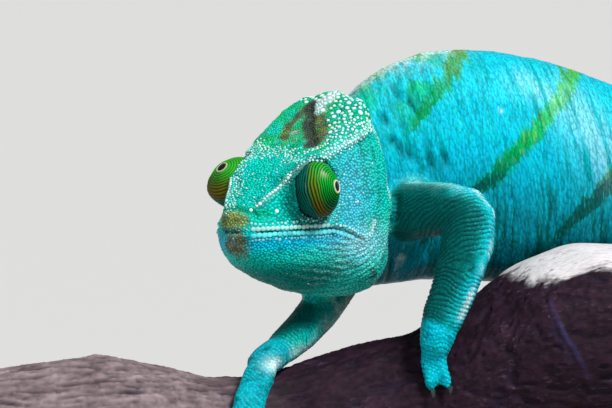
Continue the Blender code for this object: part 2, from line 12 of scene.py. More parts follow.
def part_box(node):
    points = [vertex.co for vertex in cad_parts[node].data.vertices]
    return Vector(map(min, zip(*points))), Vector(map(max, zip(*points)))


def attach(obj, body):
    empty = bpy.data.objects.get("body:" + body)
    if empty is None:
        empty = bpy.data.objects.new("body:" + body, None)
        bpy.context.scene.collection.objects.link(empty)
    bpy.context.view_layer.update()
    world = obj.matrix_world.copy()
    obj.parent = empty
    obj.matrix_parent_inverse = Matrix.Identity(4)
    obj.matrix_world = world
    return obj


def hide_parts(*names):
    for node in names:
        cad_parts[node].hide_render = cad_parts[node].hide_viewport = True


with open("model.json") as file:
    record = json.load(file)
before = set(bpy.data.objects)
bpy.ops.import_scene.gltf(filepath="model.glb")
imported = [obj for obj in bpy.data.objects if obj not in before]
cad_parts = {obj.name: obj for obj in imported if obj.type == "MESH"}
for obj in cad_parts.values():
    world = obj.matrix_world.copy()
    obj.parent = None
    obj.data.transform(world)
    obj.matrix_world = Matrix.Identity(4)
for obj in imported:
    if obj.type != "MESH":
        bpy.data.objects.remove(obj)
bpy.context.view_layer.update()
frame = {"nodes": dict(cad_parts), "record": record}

mm = 0.001  # lengths in this script are millimetres until a mesh is written
rng = np.random.default_rng(11)
slotOf = {part["node"]: part["material_slot"] for part in frame["record"]["subparts"]}
fleshNodes = sorted(name for name, used in slotOf.items() if used == "skin")
clawNodes = sorted(name for name, used in slotOf.items() if used == "claws")


def middleOf(node):
    low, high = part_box(node)
    return np.array([(a + b) / 2 / mm for a, b in zip(low, high)])


# The head's own frame: back, right and up, from a point midway between the pupils.
head = {"eyeBack": -2.6, "eyeUp": -1.8, "behindBody": 22}
leftEye, rightEye = middleOf("eyeball_left"), middleOf("eyeball_right")
toRight = (rightEye - leftEye) * (1, 1, 0)
toRight /= np.linalg.norm(toRight)
toBack = np.cross(toRight, (0, 0, 1))
headAxes = np.array([toBack, toRight, (0, 0, 1)])
headPlace = (leftEye + rightEye) / 2 - head["eyeBack"] * toBack - head["eyeUp"] * headAxes[2]
bodyPlace = headPlace + (0, head["behindBody"], 0)


def inHead(points):
    return (points - headPlace) @ headAxes.T


def fromHead(points):
    return np.asarray(points, float) @ headAxes + headPlace


def inBody(points):
    return points - bodyPlace


def ramp(values, start, end):
    t = np.clip((values - start) / (end - start), 0, 1)
    return t * t * (3 - 2 * t)


def bell(values, width):
    return np.exp(-((values / width) ** 2))


def lattice(cells, seed):
    mixed = cells[:, 0] * 374761393 + cells[:, 1] * 668265263 + cells[:, 2] * 362437 + seed * 9746347
    mixed = (mixed ^ (mixed >> 13)) * 1274126177
    return ((mixed ^ (mixed >> 16)) & 65535) / 65535


def noise(points, size, seed=0):
    # smooth noise from -1 to 1; size is the length of a cell, or one for each axis
    at = points / size
    cell = np.floor(at).astype(np.int64)
    t = at - cell
    t = t * t * (3 - 2 * t)
    total = 0
    for corner in range(8):
        step = np.array([(corner >> k) & 1 for k in range(3)])
        total = total + np.prod(np.where(step, t, 1 - t), axis=1) * lattice(cell + step, seed)
    return total * 2 - 1


def lengths(vectors):
    return np.linalg.norm(vectors, axis=-1)


def fromSpot(points, centre, radii=1):
    # distance from a point, in shares of the radii of an egg round it
    return lengths((points - np.array(centre)) / radii)


def fromLine(points, line):
    # distance from a bent line, and how far along it as a share
    line = np.asarray(line, float)
    legs = lengths(np.diff(line, axis=0))
    near, share, done = np.full(len(points), 1e9), np.zeros(len(points)), 0
    for start, end, leg in zip(line[:-1], line[1:], legs):
        t = np.clip((points - start) @ (end - start) / leg**2, 0, 1)
        away = lengths(points - start - t[:, None] * (end - start))
        closer = away < near
        near = np.where(closer, away, near)
        share = np.where(closer, (done + t * leg) / legs.sum(), share)
        done += leg
    return near, share


def smoothly(x, pairs):
    # a smooth curve through (place, value) pairs
    at, values = np.array(pairs, float).T
    slopes = np.gradient(values, at)
    i = np.clip(np.searchsorted(at, x, side="right") - 1, 0, len(at) - 2)
    width = at[i + 1] - at[i]
    t = np.clip((x - at[i]) / width, 0, 1)
    bend = (t**3 - 2 * t**2 + t) * slopes[i] + (t**3 - t**2) * slopes[i + 1]
    return values[i] + (3 * t**2 - 2 * t**3) * (values[i + 1] - values[i]) + bend * width


def mirrored(points):
    # head places with the left side folded onto the right
    return np.column_stack([points[:, 0], np.abs(points[:, 1]), points[:, 2]])


def foldedBody(body):
    # body places with the right side folded onto the left
    return mirrored(body) * (1, -1, 1)


def unit(vectors):
    return vectors / np.maximum(lengths(vectors), 1e-9)[..., None]


def meshOf(node, grow=0):
    # the node's points in mm, welded, moved out along their normals, with its faces
    bm = bmesh.new()
    bm.from_mesh(frame["nodes"][node].data)
    bmesh.ops.remove_doubles(bm, verts=bm.verts, dist=0.00001)
    bm.normal_update()
    places = np.array([v.co / mm + v.normal * grow for v in bm.verts])
    faces = [[v.index for v in face.verts] for face in bm.faces]
    bm.free()
    return places, faces


def newMesh(name, places, faces):
    mesh = bpy.data.meshes.new(name)
    mesh.from_pydata((np.asarray(places) * mm).tolist(), [], [list(f) for f in faces])
    mesh.shade_smooth()
    return mesh


def ringFaces(rings, turns, inward=False):
    # the four-sided faces between rings of points
    faces = []
    for first in range(0, (rings - 1) * turns, turns):
        for i in range(turns):
            j = (i + 1) % turns
            face = (first + i, first + j, first + turns + j, first + turns + i)
            faces.append((face[0], *face[:0:-1]) if inward else face)
    return faces


def shownObject(name, data):
    made = bpy.data.objects.new(name, data)
    bpy.context.scene.collection.objects.link(made)
    return made


def newPiece(name, mesh, material, slot, *nodes):
    mesh.materials.clear()
    mesh.materials.append(material)
    piece = shownObject(name, mesh)
    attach(piece, "root")
    if nodes:
        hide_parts(*nodes)
    return piece


def applied(mesh, kind, **settings):
    # the mesh after one modifier
    holder = shownObject("holder", mesh)
    modifier = holder.modifiers.new(kind, kind)
    for key, value in settings.items():
        setattr(modifier, key, value)
    graph = bpy.context.evaluated_depsgraph_get()
    made = bpy.data.meshes.new_from_object(holder.evaluated_get(graph), depsgraph=graph)
    bpy.data.objects.remove(holder)
    return made


def remeshed(mesh, voxel):
    return applied(mesh, "REMESH", mode="VOXEL", voxel_size=voxel * mm, use_smooth_shade=True)


def refined(mesh, levels=1):
    return applied(mesh, "SUBSURF", levels=levels, render_levels=levels)


def listed(items, name, width, kind=np.float32):
    flat = np.empty(len(items) * width, kind)
    items.foreach_get(name, flat)
    return flat.reshape(-1, width)


def placesOf(mesh):
    return listed(mesh.vertices, "co", 3).astype(float) / mm


def normalsOf(mesh):
    return listed(mesh.vertex_normals, "vector", 3).astype(float)


def edgesOf(mesh):
    return listed(mesh.edges, "vertices", 2, np.int32)


def setPlaces(mesh, places):
    mesh.vertices.foreach_set("co", (places * mm).astype(np.float32).ravel())
    mesh.update()


def setColours(mesh, name, *values):
    # three or four columns of numbers kept on the mesh as a colour
    columns = np.ones((len(mesh.vertices), 4), np.float32)
    for k, column in enumerate(values):
        columns[:, k] = column
    mesh.attributes.new(name, "FLOAT_COLOR", "POINT").data.foreach_set("color", columns.ravel())


def spread(values, edges, rounds, share):
    # each point moves share of the way to the mean of its neighbours, many times
    count = np.maximum(np.bincount(edges.ravel(), minlength=len(values)), 1)[:, None]
    share = np.broadcast_to(np.asarray(share, float).reshape(-1, 1), (len(values), 1))
    ends = np.concatenate([edges, edges[:, ::-1]]).T
    for _ in range(rounds):
        total = [np.bincount(ends[0], column[ends[1]], len(values)) for column in values.T]
        values = values + share * (np.column_stack(total) / count - values)
    return values


class Wire:
    def __init__(self, tree, socket=None):
        self.tree, self.socket = tree, socket

    def node(self, kind, settings=(), inputs=(), output=0):
        made = self.tree.nodes.new("ShaderNode" + kind)
        for key, value in dict(settings).items():
            if key == "stops":
                while len(made.color_ramp.elements) < len(value):
                    made.color_ramp.elements.new(0.5)
                for stop, (place, colour) in zip(made.color_ramp.elements, value):
                    stop.position, stop.color = place, (*colour, 1)
            else:
                setattr(made, key, value)
        for key, value in dict(inputs).items():
            if isinstance(value, Wire):
                self.tree.links.new(value.socket, made.inputs[key])
            else:
                made.inputs[key].default_value = value
        return Wire(self.tree, made.outputs[output])

    def output(self, number):
        return Wire(self.tree, self.socket.node.outputs[number])

    def sums(self, operation, left, right):
        pair = [left, right]
        if any(isinstance(x, Wire) and x.socket.type != "VALUE" for x in pair):
            pair = [x if isinstance(x, (Wire, tuple)) else (x, x, x) for x in pair]
            return self.node("VectorMath", {"operation": operation}, enumerate(pair))
        return self.node("Math", {"operation": operation}, enumerate(pair))

    def __add__(self, other):
        return self.sums("ADD", self, other)

    __radd__ = __add__

    def __mul__(self, other):
        return self.sums("MULTIPLY", self, other)

    __rmul__ = __mul__

    def __sub__(self, other):
        return self.sums("SUBTRACT", self, other)

    def __rsub__(self, other):
        return self.sums("SUBTRACT", other, self)

    def mix(self, first, second):
        # two colours mixed by this value
        ends = [x if isinstance(x, Wire) else (*x, 1) for x in (first, second)]
        return self.node("Mix", {"data_type": "RGBA"}, {0: self, 6: ends[0], 7: ends[1]}, 2)

    def toward(self, colour, share):
        return share.mix(self, colour)

    def between(self, low, high):
        return self.node("MapRange", {"interpolation_type": "SMOOTHSTEP"}, {0: self, 1: low, 2: high})

    def noise(self, scale, detail, **more):
        return self.node("TexNoise", {}, {"Scale": scale, "Detail": detail, **more})

    def stretched(self, scale, turn=0):
        where = self.node("TexCoord", {}, {}, 3)
        return self.node("Mapping", {}, {"Vector": where, "Rotation": (0, turn, 0), "Scale": scale})

    def stored(self, name):
        parts = self.node("SeparateColor", {}, {0: self.node("Attribute", {"attribute_name": name})})
        return parts, parts.output(1), parts.output(2)

    def bump(self, strength, distance):
        return self.node("Bump", {}, {"Strength": strength, "Distance": distance, "Height": self})


def newMaterial(name, look, constants=(), *values):
    # look gives what changes over the surface, by the names of its inputs
    material = bpy.data.materials.new(name)
    material.use_nodes = True
    tree = material.node_tree
    inputs = tree.nodes["Principled BSDF"].inputs
    for key, value in look(Wire(tree), *values).items():
        tree.links.new(value.socket, inputs[key])
    for key, value in dict(constants).items():
        inputs[key].default_value = value
    return material


# the skin is one surface over all the flesh
skin = {
    "grow": 0.36,
    "voxel": 1.2,
    "coat": 0.25,
    "soften": 16,
    "firm": (0.35, 0.6, 0.7, 0.35, 0.4, 0.16),  # how much each group is softened, in the order below
    "hold": (0.6, 0.5, 0.45, 0.9, 0.85, 1),  # how far each is drawn back to its solids
}
groups = {
    "head": ("head", "lower_jaw"),
    "neck": ("neck",),
    "trunk": ("trunk",),
    "tail": ("tail_",),
    "limbs": ("upper_arm", "forearm", "thigh", "shin"),
    "feet": ("hand", "foot"),
}
fleshPlaces, fleshFaces, fleshGroup, fleshAxis = [], [], [], []
grownPlaces, offset = [], 0
for node in fleshNodes:
    places, faces = meshOf(node)
    fleshPlaces.append(places)
    grownPlaces.append(meshOf(node, skin["grow"])[0])
    fleshFaces += [[offset + i for i in face] for face in faces]
    group = next(i for i, starts in enumerate(groups.values()) if node.startswith(starts))
    axis = np.linalg.svd(places - places.mean(axis=0), full_matrices=False)[2][0]
    fleshGroup += [group] * len(faces)
    fleshAxis += [axis] * len(faces)
    offset += len(places)
fleshPlaces, fleshGroup, fleshAxis = np.concatenate(fleshPlaces), np.array(fleshGroup), np.array(fleshAxis)
fleshTree = BVHTree.FromPolygons(fleshPlaces.tolist(), fleshFaces)
skinMesh = remeshed(newMesh("skin", np.concatenate(grownPlaces), fleshFaces), skin["voxel"])


def nearestFlesh(places):
    found = np.array([fleshTree.find_nearest(p)[2] for p in places.tolist()])
    return fleshGroup[found], fleshAxis[found]


def groupShares(places, edges, rounds):
    return spread(np.eye(len(groups))[nearestFlesh(places)[0]], edges, rounds, 0.6)


def largestShell(mesh):
    # small closed shells left inside the body are dropped
    (start, end), shell = edgesOf(mesh).T, np.arange(len(mesh.vertices))
    while np.any(shell[start] != shell[end]):
        lower = np.minimum(shell[start], shell[end])
        for ends in (start, end):
            np.minimum.at(shell, shell[ends], lower)
        shell = shell[shell]
    largest = np.bincount(shell).argmax()
    bm = bmesh.new()
    bm.from_mesh(mesh)
    bmesh.ops.delete(bm, geom=[v for v in bm.verts if shell[v.index] != largest], context="VERTS")
    bm.to_mesh(mesh)
    bm.free()


largestShell(skinMesh)
places, edges = placesOf(skinMesh), edgesOf(skinMesh)
shares = groupShares(places, edges, 6)
places = spread(places, edges, skin["soften"], shares @ np.array(skin["firm"]) * 0.8)
setPlaces(skinMesh, places)
# softening thins the toes and the tail, so the skin is drawn back to the solids, less the coat's depth
hold = (shares @ np.array(skin["hold"]))[:, None]
for _ in range(2):
    surface = np.array([fleshTree.find_nearest(p)[0] for p in places.tolist()])
    places = places + hold * (surface - normalsOf(skinMesh) * skin["coat"] - places)
    places = spread(places, edges, 2, 0.5)
    setPlaces(skinMesh, places)
print("skin: remeshed,", len(skinMesh.polygons), "faces")

holder = shownObject("unwrap", skinMesh)
bpy.context.view_layer.objects.active = holder
holder.select_set(True)
skinMesh.uv_layers.new(name="OFBake")
bpy.ops.object.mode_set(mode="EDIT")
bpy.ops.mesh.select_all(action="SELECT")
bpy.ops.uv.smart_project(angle_limit=math.radians(70), island_margin=0.002)
bpy.ops.object.mode_set(mode="OBJECT")
bpy.data.objects.remove(holder)
print("skin: unwrapped")

skinMesh = refined(skinMesh)
# the face and the near arm get smaller faces than the rest
places = placesOf(skinMesh)
local, body, label = inHead(places), inBody(places), nearestFlesh(places)[0]
finer = (label == 0) & (local[:, 0] < 30) & (local[:, 2] > -37) & (np.abs(local[:, 1]) < 24)
finer |= (label >= 4) & (body[:, 0] > 26) & (body[:, 0] < 62) & (body[:, 1] < -17)
bm = bmesh.new()
bm.from_mesh(skinMesh)
chosen = [e for e in bm.edges if finer[e.verts[0].index] and finer[e.verts[1].index]]
bmesh.ops.subdivide_edges(bm, edges=chosen, cuts=1, use_grid_fill=True, smooth=0)
bm.to_mesh(skinMesh)
bm.free()
skinMesh.shade_smooth()
edges = edgesOf(skinMesh)
places = spread(placesOf(skinMesh), edges, 2, 0.4)
setPlaces(skinMesh, places)
shares = groupShares(places, edges, 20)
onHead, onNeck, onTrunk, onTail, onLimb, onPaw = shares.T
print("skin: refined to", len(skinMesh.polygons), "faces")

# Lines on the head, in its own frame. The right side's, up to the saddle, are mirrored on the left.
face = {
    "crest": [(-18.5, 4, -6.6), (-16.9, 5.4, -5.1), (-13.7, 7, -2.6), (-10, 9.6, 1.2), (-7, 12, 4.2),
              (-2.7, 13.3, 5.8), (1.8, 13.9, 6.8), (6, 14.8, 8.6), (10.7, 15.4, 10.2), (17, 15.6, 12),
              (22, 14.6, 14.5)],
    "casqueEdge": [(6, 12.2, 9.6), (10.9, 11.5, 12.4), (17, 9, 17), (22, 6, 21.2), (26, 0, 23.4)],
    "vee": [(5.2, 11.9, 9.9), (3.1, 9.3, 8.6), (1.1, 6.4, 7.2)],
    "brow": [(-1, 5, 6.4), (1.7, 2, 7.8), (2.5, -1.5, 8.2), (3.9, -4.2, 8.8)],
    "cheek": [(14.8, 15.6, 12), (16.2, 16.1, 7.9), (16.3, 16.8, 2), (16.5, 17.1, -3),
              (16.3, 17.5, -8), (15, 17.6, -12.5)],
    "mouth": [(-22.6, 0, -12.3), (-20.4, 3, -12.2), (-17.1, 8.1, -12.1), (-7.2, 12, -12.2),
              (-1.5, 13.8, -12.4), (3.6, 15.3, -12.5)],
    "corner": [(3.6, 15.3, -12.5), (7, 16.2, -13.3), (11.6, 17.2, -15.2), (14.1, 17.7, -16.5)],
    "cornerFold": [(14.1, 17.7, -16.5), (17.5, 18, -14.8), (19, 18.3, -12)],
    "flap": [(20, 15, 15), (23.6, 14.2, 13.6), (25, 14.8, 9.5), (25.9, 16, 4.5), (26.6, 17.2, -1),
             (26.6, 17.5, -5), (25.8, 17.8, -9.5), (24.2, 18.4, -14), (22.4, 18.7, -19),
             (19, 17.8, -26)],
    "flapFold": [(20, 15.6, 12), (21.3, 16.4, 6), (22, 17, 0), (22.2, 17.4, -6),
                 (21, 17.8, -11)],
    "labials": [(-19.4, 4.9, -12.2), (-17.1, 8.1, -12.1), (-12, 10.4, -12.1), (-7.2, 12, -12.2),
                (-1.5, 13.8, -12.4), (3.6, 15.3, -12.5)],
    "eye": (-2.6, 13.4, -1.8),
    "saddle": [(-19, 0, -6), (-19.4, 3.2, -6.4), (-17.6, 6.2, -7.2), (-15.7, 7.6, -7.4)],
    "hollow": [(18.6, 3.4, 19.6), (16, 2, 17.6), (13.2, 0.1, 15.6), (9.6, -3.2, 12.1), (6.2, -6.2, 9.8)],
    "rust": [(17.5, 5, 18), (11, 5.6, 13), (7.6, 4.4, 10.6), (6.5, 1, 9.8)],
    "olive": [(14.2, -3, 15.6), (11.5, -5.6, 13), (8, -7.6, 10.8)],
    "lilac": (9.3, 1.7, 12),
    "cream": [(16.8, -0.6, 18.6), (20, -0.8, 21.2), (23.5, -1.4, 22.6)],
}
# ridges and grooves along them: height, how far beside the line, half width
creases = {
    "casqueEdge": [(0.4, 0, 1.1)],
    "saddle": [(-0.45, 0, 0.8)],
    "cheek": [(-0.45, 0, 1.1)],
    "flapFold": [(-0.5, 0, 1.1)],
    "mouth": [(0.32, 1.1, 0.7), (-0.75, 0, 0.34)],
    "corner": [(0.3, 1, 0.7), (-0.7, 0, 0.45)],
    "cornerFold": [(0.5, 0, 0.8)],
}
turret = {
    "outline": [(0, 7.45), (12, 7.26), (28, 7.16), (45, 7.31), (57, 7.71), (67, 7.9), (78, 7.6), (92, 7.2),
                (180, 7.1)],  # degrees from the gaze, and the radius there
    "left": (0.22, -0.96, 0.19),
    "right": (-0.68, 0.15, 0.72),
    "room": 0.4,
}


def fromTurret(points, side):
    # how far head places lie outside a turret's lids
    centre, gaze = (leftEye, turret["left"]) if side < 0 else (rightEye, turret["right"])
    away = points - inHead(centre)
    far = np.maximum(lengths(away), 0.01)
    degrees = np.degrees(np.arccos(np.clip(away @ unit(np.array(gaze)) / far, -1, 1)))
    return far - smoothly(degrees, turret["outline"]), away / far[:, None]


def ringWrinkles(points):
    # the rings of skin in which a turret turns: where they are, and their waves
    away = points - np.array(face["eye"])
    out = np.hypot(away[:, 0], away[:, 2])
    end = 12 - 2.5 * ramp(away[:, 0], -3, 5)
    near = ramp(out, 6.2, 7) * (1 - ramp(out, 9.4, end)) * ramp(points[:, 1], 8, 11)
    return near, np.abs(np.sin(math.pi * (out + 0.5 * noise(points, 4, 3))))


def throatFolds(side, local):
    # where the folds under the corner of the mouth are, and their waves, which turn up behind the corner
    back, _, up = side.T
    on = ramp(-up, 14, 17.5) * ramp(back, -12, 4) * (1 - ramp(back, 19, 23))
    bend = up - 0.035 * np.maximum(back - 6, 0) ** 2 + 0.22 * back
    wave = bend + 1 * noise(local, (8, 8, 20), 5) + 0.45 * noise(local, 2.6, 6)
    broken = ramp(noise(local, (3.5, 3.5, 2.5), 9), -0.6, 0.3)
    return on, np.sin(2 * math.pi * wave / 1.75) * broken


def overCrest(side):
    # height above the crest at each point's distance back
    line = np.array(face["crest"])
    return side[:, 2] - np.interp(side[:, 0], line[:, 0], line[:, 2])


def behindFlap(side):
    line = np.array(face["flap"])[::-1]
    return ramp(side[:, 0] - np.interp(side[:, 2], line[:, 2], line[:, 0]), 0, 0.8)


def carveHead(places, normals):
    local = inHead(places)
    side = mirrored(local)
    lift = 0.16 * noise(local, 2.6, 7) + 0.08 * noise(local, 1.2, 8)
    for line, cuts in creases.items():
        near, _ = fromLine(side, face[line])
        for high, beside, wide in cuts:
            lift += high * bell(near - beside, wide)
    crest, along = fromLine(side, face["crest"])
    lift += 0.75 * bell(crest, 1) * ramp(along, 0, 0.12)
    lift -= 0.35 * bell(crest - 2.2, 1) * (overCrest(side) < 0) * ramp(along, 0.05, 0.3)
    hollow, along = fromLine(local, face["hollow"])
    lift -= 1.4 * bell(hollow, 1.9) * ramp(along, 0, 0.15)
    lift += 0.45 * bell(fromSpot(local, (11.5, 9.5, 13.2), (7, 4, 6)), 0.9)
    lift += 1.1 * bell(fromSpot(side, (-20, 0, -8.8), (3.2, 5, 2.6)), 0.9)  # the snout's knob
    lift -= 0.8 * bell(fromSpot(side, (-18, 5.9, -8)), 0.8)  # the nostril
    near, ring = ringWrinkles(side)
    throat, ripple = throatFolds(side, local)
    lift += near * (0.34 * ring**0.7 - 0.55) + 0.2 * throat * ripple
    on = ramp(onHead, 0.25, 0.75)
    flap, along = fromLine(side, face["flap"])
    ended = along < 0.98
    lift = on * lift + (on + onNeck) * 0.6 * bell(flap, 1.5) * ended * ramp(along, 0, 0.12)
    behind = behindFlap(side) * ended * ramp(along, 0.02, 0.15)
    lift -= (on + onNeck + onLimb) * 1.5 * bell(flap - 2.1, 1.05) * behind
    # the right brow lies lower than the left one
    clear, outward = fromTurret(local, 1)
    brow = 5.5 * bell(fromSpot(local, (-7, 12.4, 3.2), (5.2, 3.4, 4.6)), 1)
    push = on * np.minimum(brow, np.maximum(clear + 1.2, 0))
    return places + normals * lift[:, None] - (outward * push[:, None]) @ headAxes


# uneven streaks of the flanks: the length of a cell along each axis, and a seed
grain = {
    "lean": ((16, 30, 22), 21),
    "streak": ((1.5, 60, 13), 22),
    "split": ((3.4, 60, 11), 23),
    "hair": ((0.75, 60, 9), 68),
}
strokes = [(38.4, 6.6, 1.2, 2.6), (40.6, 5.4, 1, 2.4), (35.9, 9, 1.6, 1.4), (43.1, 18.7, 1, 3.2),
           (46.7, 3.5, 0.9, 3), (34.5, 14.8, 1.2, 2), (39.1, 22.3, 1, 2.4),
           (50.8, 4, 0.8, 2.8)]  # back, up, half wide, half tall
limbLines = [
    np.array([middleOf(f"{node}_{side}") for node in nodes])
    for nodes in (("upper_arm", "forearm", "hand"), ("thigh", "shin", "foot"))
    for side in ("left", "right")
]


def leant(body):
    # body places slid along their streaks' lean
    lean = body[:, 0] + 0.1 * body[:, 2] + 1.8 * noise(body, *grain["lean"])
    return np.column_stack([lean, body[:, 1:]])


def gashes(body, leaning):
    # short deep folds behind the shoulder
    near = fromSpot(foldedBody(body), (42, -13, 10), (12, 12, 14))
    deepest = 0.35 * ramp(noise(leaning, *grain["split"]), 0.05, 0.5) * (1 - ramp(near, 0.65, 1.15))
    crooked = 0.5 * noise(body, 1.6, 80)
    for back, up, wide, tall in strokes:
        over = body[:, 2] - up
        stroke = bell(body[:, 0] - back + 0.35 * over + crooked, wide) * bell(over, tall)
        deepest = np.maximum(deepest, stroke)
    return deepest


def limbCreases(places):
    # wrinkles round a limb, one after another down its length
    best, down = np.full(len(places), 1e9), np.zeros(len(places))
    for middles in limbLines:
        line = np.array([2 * middles[0] - middles[1], *middles, 2 * middles[-1] - middles[-2]])
        away, share = fromLine(places, line)
        run = share * lengths(np.diff(line, axis=0)).sum()
        down = np.where(away < best, run, down)
        best = np.minimum(best, away)
    warped = down + 0.9 * noise(places, 4.5, 35) + 0.3 * noise(places, 1.8, 36)
    fine = np.abs(np.sin(math.pi * warped / 1.15)) ** 0.7
    return np.where(noise(places, (5, 5, 3), 37) > -0.2, fine, 0.4 + 0.6 * fine)


def carveBody(places, normals):
    body = inBody(places)
    x, y, z = body.T
    leaning = leant(body)
    flank = (onTrunk + 0.8 * onNeck) * (1 - 0.6 * ramp(np.abs(y), 5, 1))
    broad = noise(leant(body * (0.5, 1, 1) + 9), *grain["streak"])
    streaks = 0.17 * noise(leaning, *grain["streak"]) + 0.1 * noise(leaning, *grain["hair"])
    lift = flank * (streaks + 0.3 * np.minimum(broad, 0.2) - 0.8 * gashes(body, leaning))
    # deep folds where the neck turns
    neck = onNeck + onTrunk * (1 - ramp(x, 46, 52))
    pleat = np.abs(np.sin(math.pi * (x - 0.16 * (10 - z) + 0.8 * noise(body, (8, 8, 9), 25)) / 4.6)) ** 0.6
    upright = ramp(np.abs(y), 5, 11) * ramp(z, -20, -6) * ramp(noise(body, (9, 30, 14), 27), -0.5, 0.3)
    lift += neck * upright * 0.75 * (pleat - 0.7)
    crumpled = np.abs(noise(body, (2, 6, 6), 28)) ** 0.7 - 0.4
    lift += neck * 0.45 * crumpled * bell(fromSpot(foldedBody(body), (42, -15, 0), (9, 9, 13)), 1)
    lift += (onLimb + 0.4 * onPaw) * (0.42 * (limbCreases(places) - 0.55) + 0.06 * noise(body, 1.6, 32))
    lift += onPaw * 0.07 * noise(body, 1.3, 33) + onTail * 0.06 * noise(body, 1.4, 34)
    return places + normals * lift[:, None]


for carve in (carveHead, carveBody):
    places = carve(places, normalsOf(skinMesh))
    setPlaces(skinMesh, places)
print("skin: folds and ridges carved")

# markings, which are the same on the skin and on each scale; besides the skin's own colours they hold
# painted shade and painted highlights
bands = {
    "first": 27,
    "apart": 39.7,
    "lean": 1.1,
    "width": 4,
    "fade": (-24, -6),
    "inner": [(24.4, -4.2, -37.3), (16.3, -13.3, -43.1), (9.8, -18.3, -47.2), (1.6, -25.6, -48),
              (-5.6, -29.3, -50.6), (-8.7, -32, -53.1), (-11.8, -35.8, -56.4)],
    "sheen": ([(77.5, -10.3, 24), (86, -12.2, 20.5)], [(90, -12, 19), (96, -15.5, 10.6), (101, -17, 3)]),
    "armTop": [(40.5, -17.5, -2.5), (43, -26, -0.9), (47, -39.6, -1.2)],
    "elbow": [(47, -39.6, -1.2), (50, -42.6, -2.2), (52.6, -44.6, -5), (54, -45, -9), (53.3, -45.6, -12),
              (52, -46.7, -17), (50.2, -47.4, -22.5), (47.7, -47.1, -28), (45.9, -46.6, -31.7),
              (43.3, -45.9, -36.9)],
}


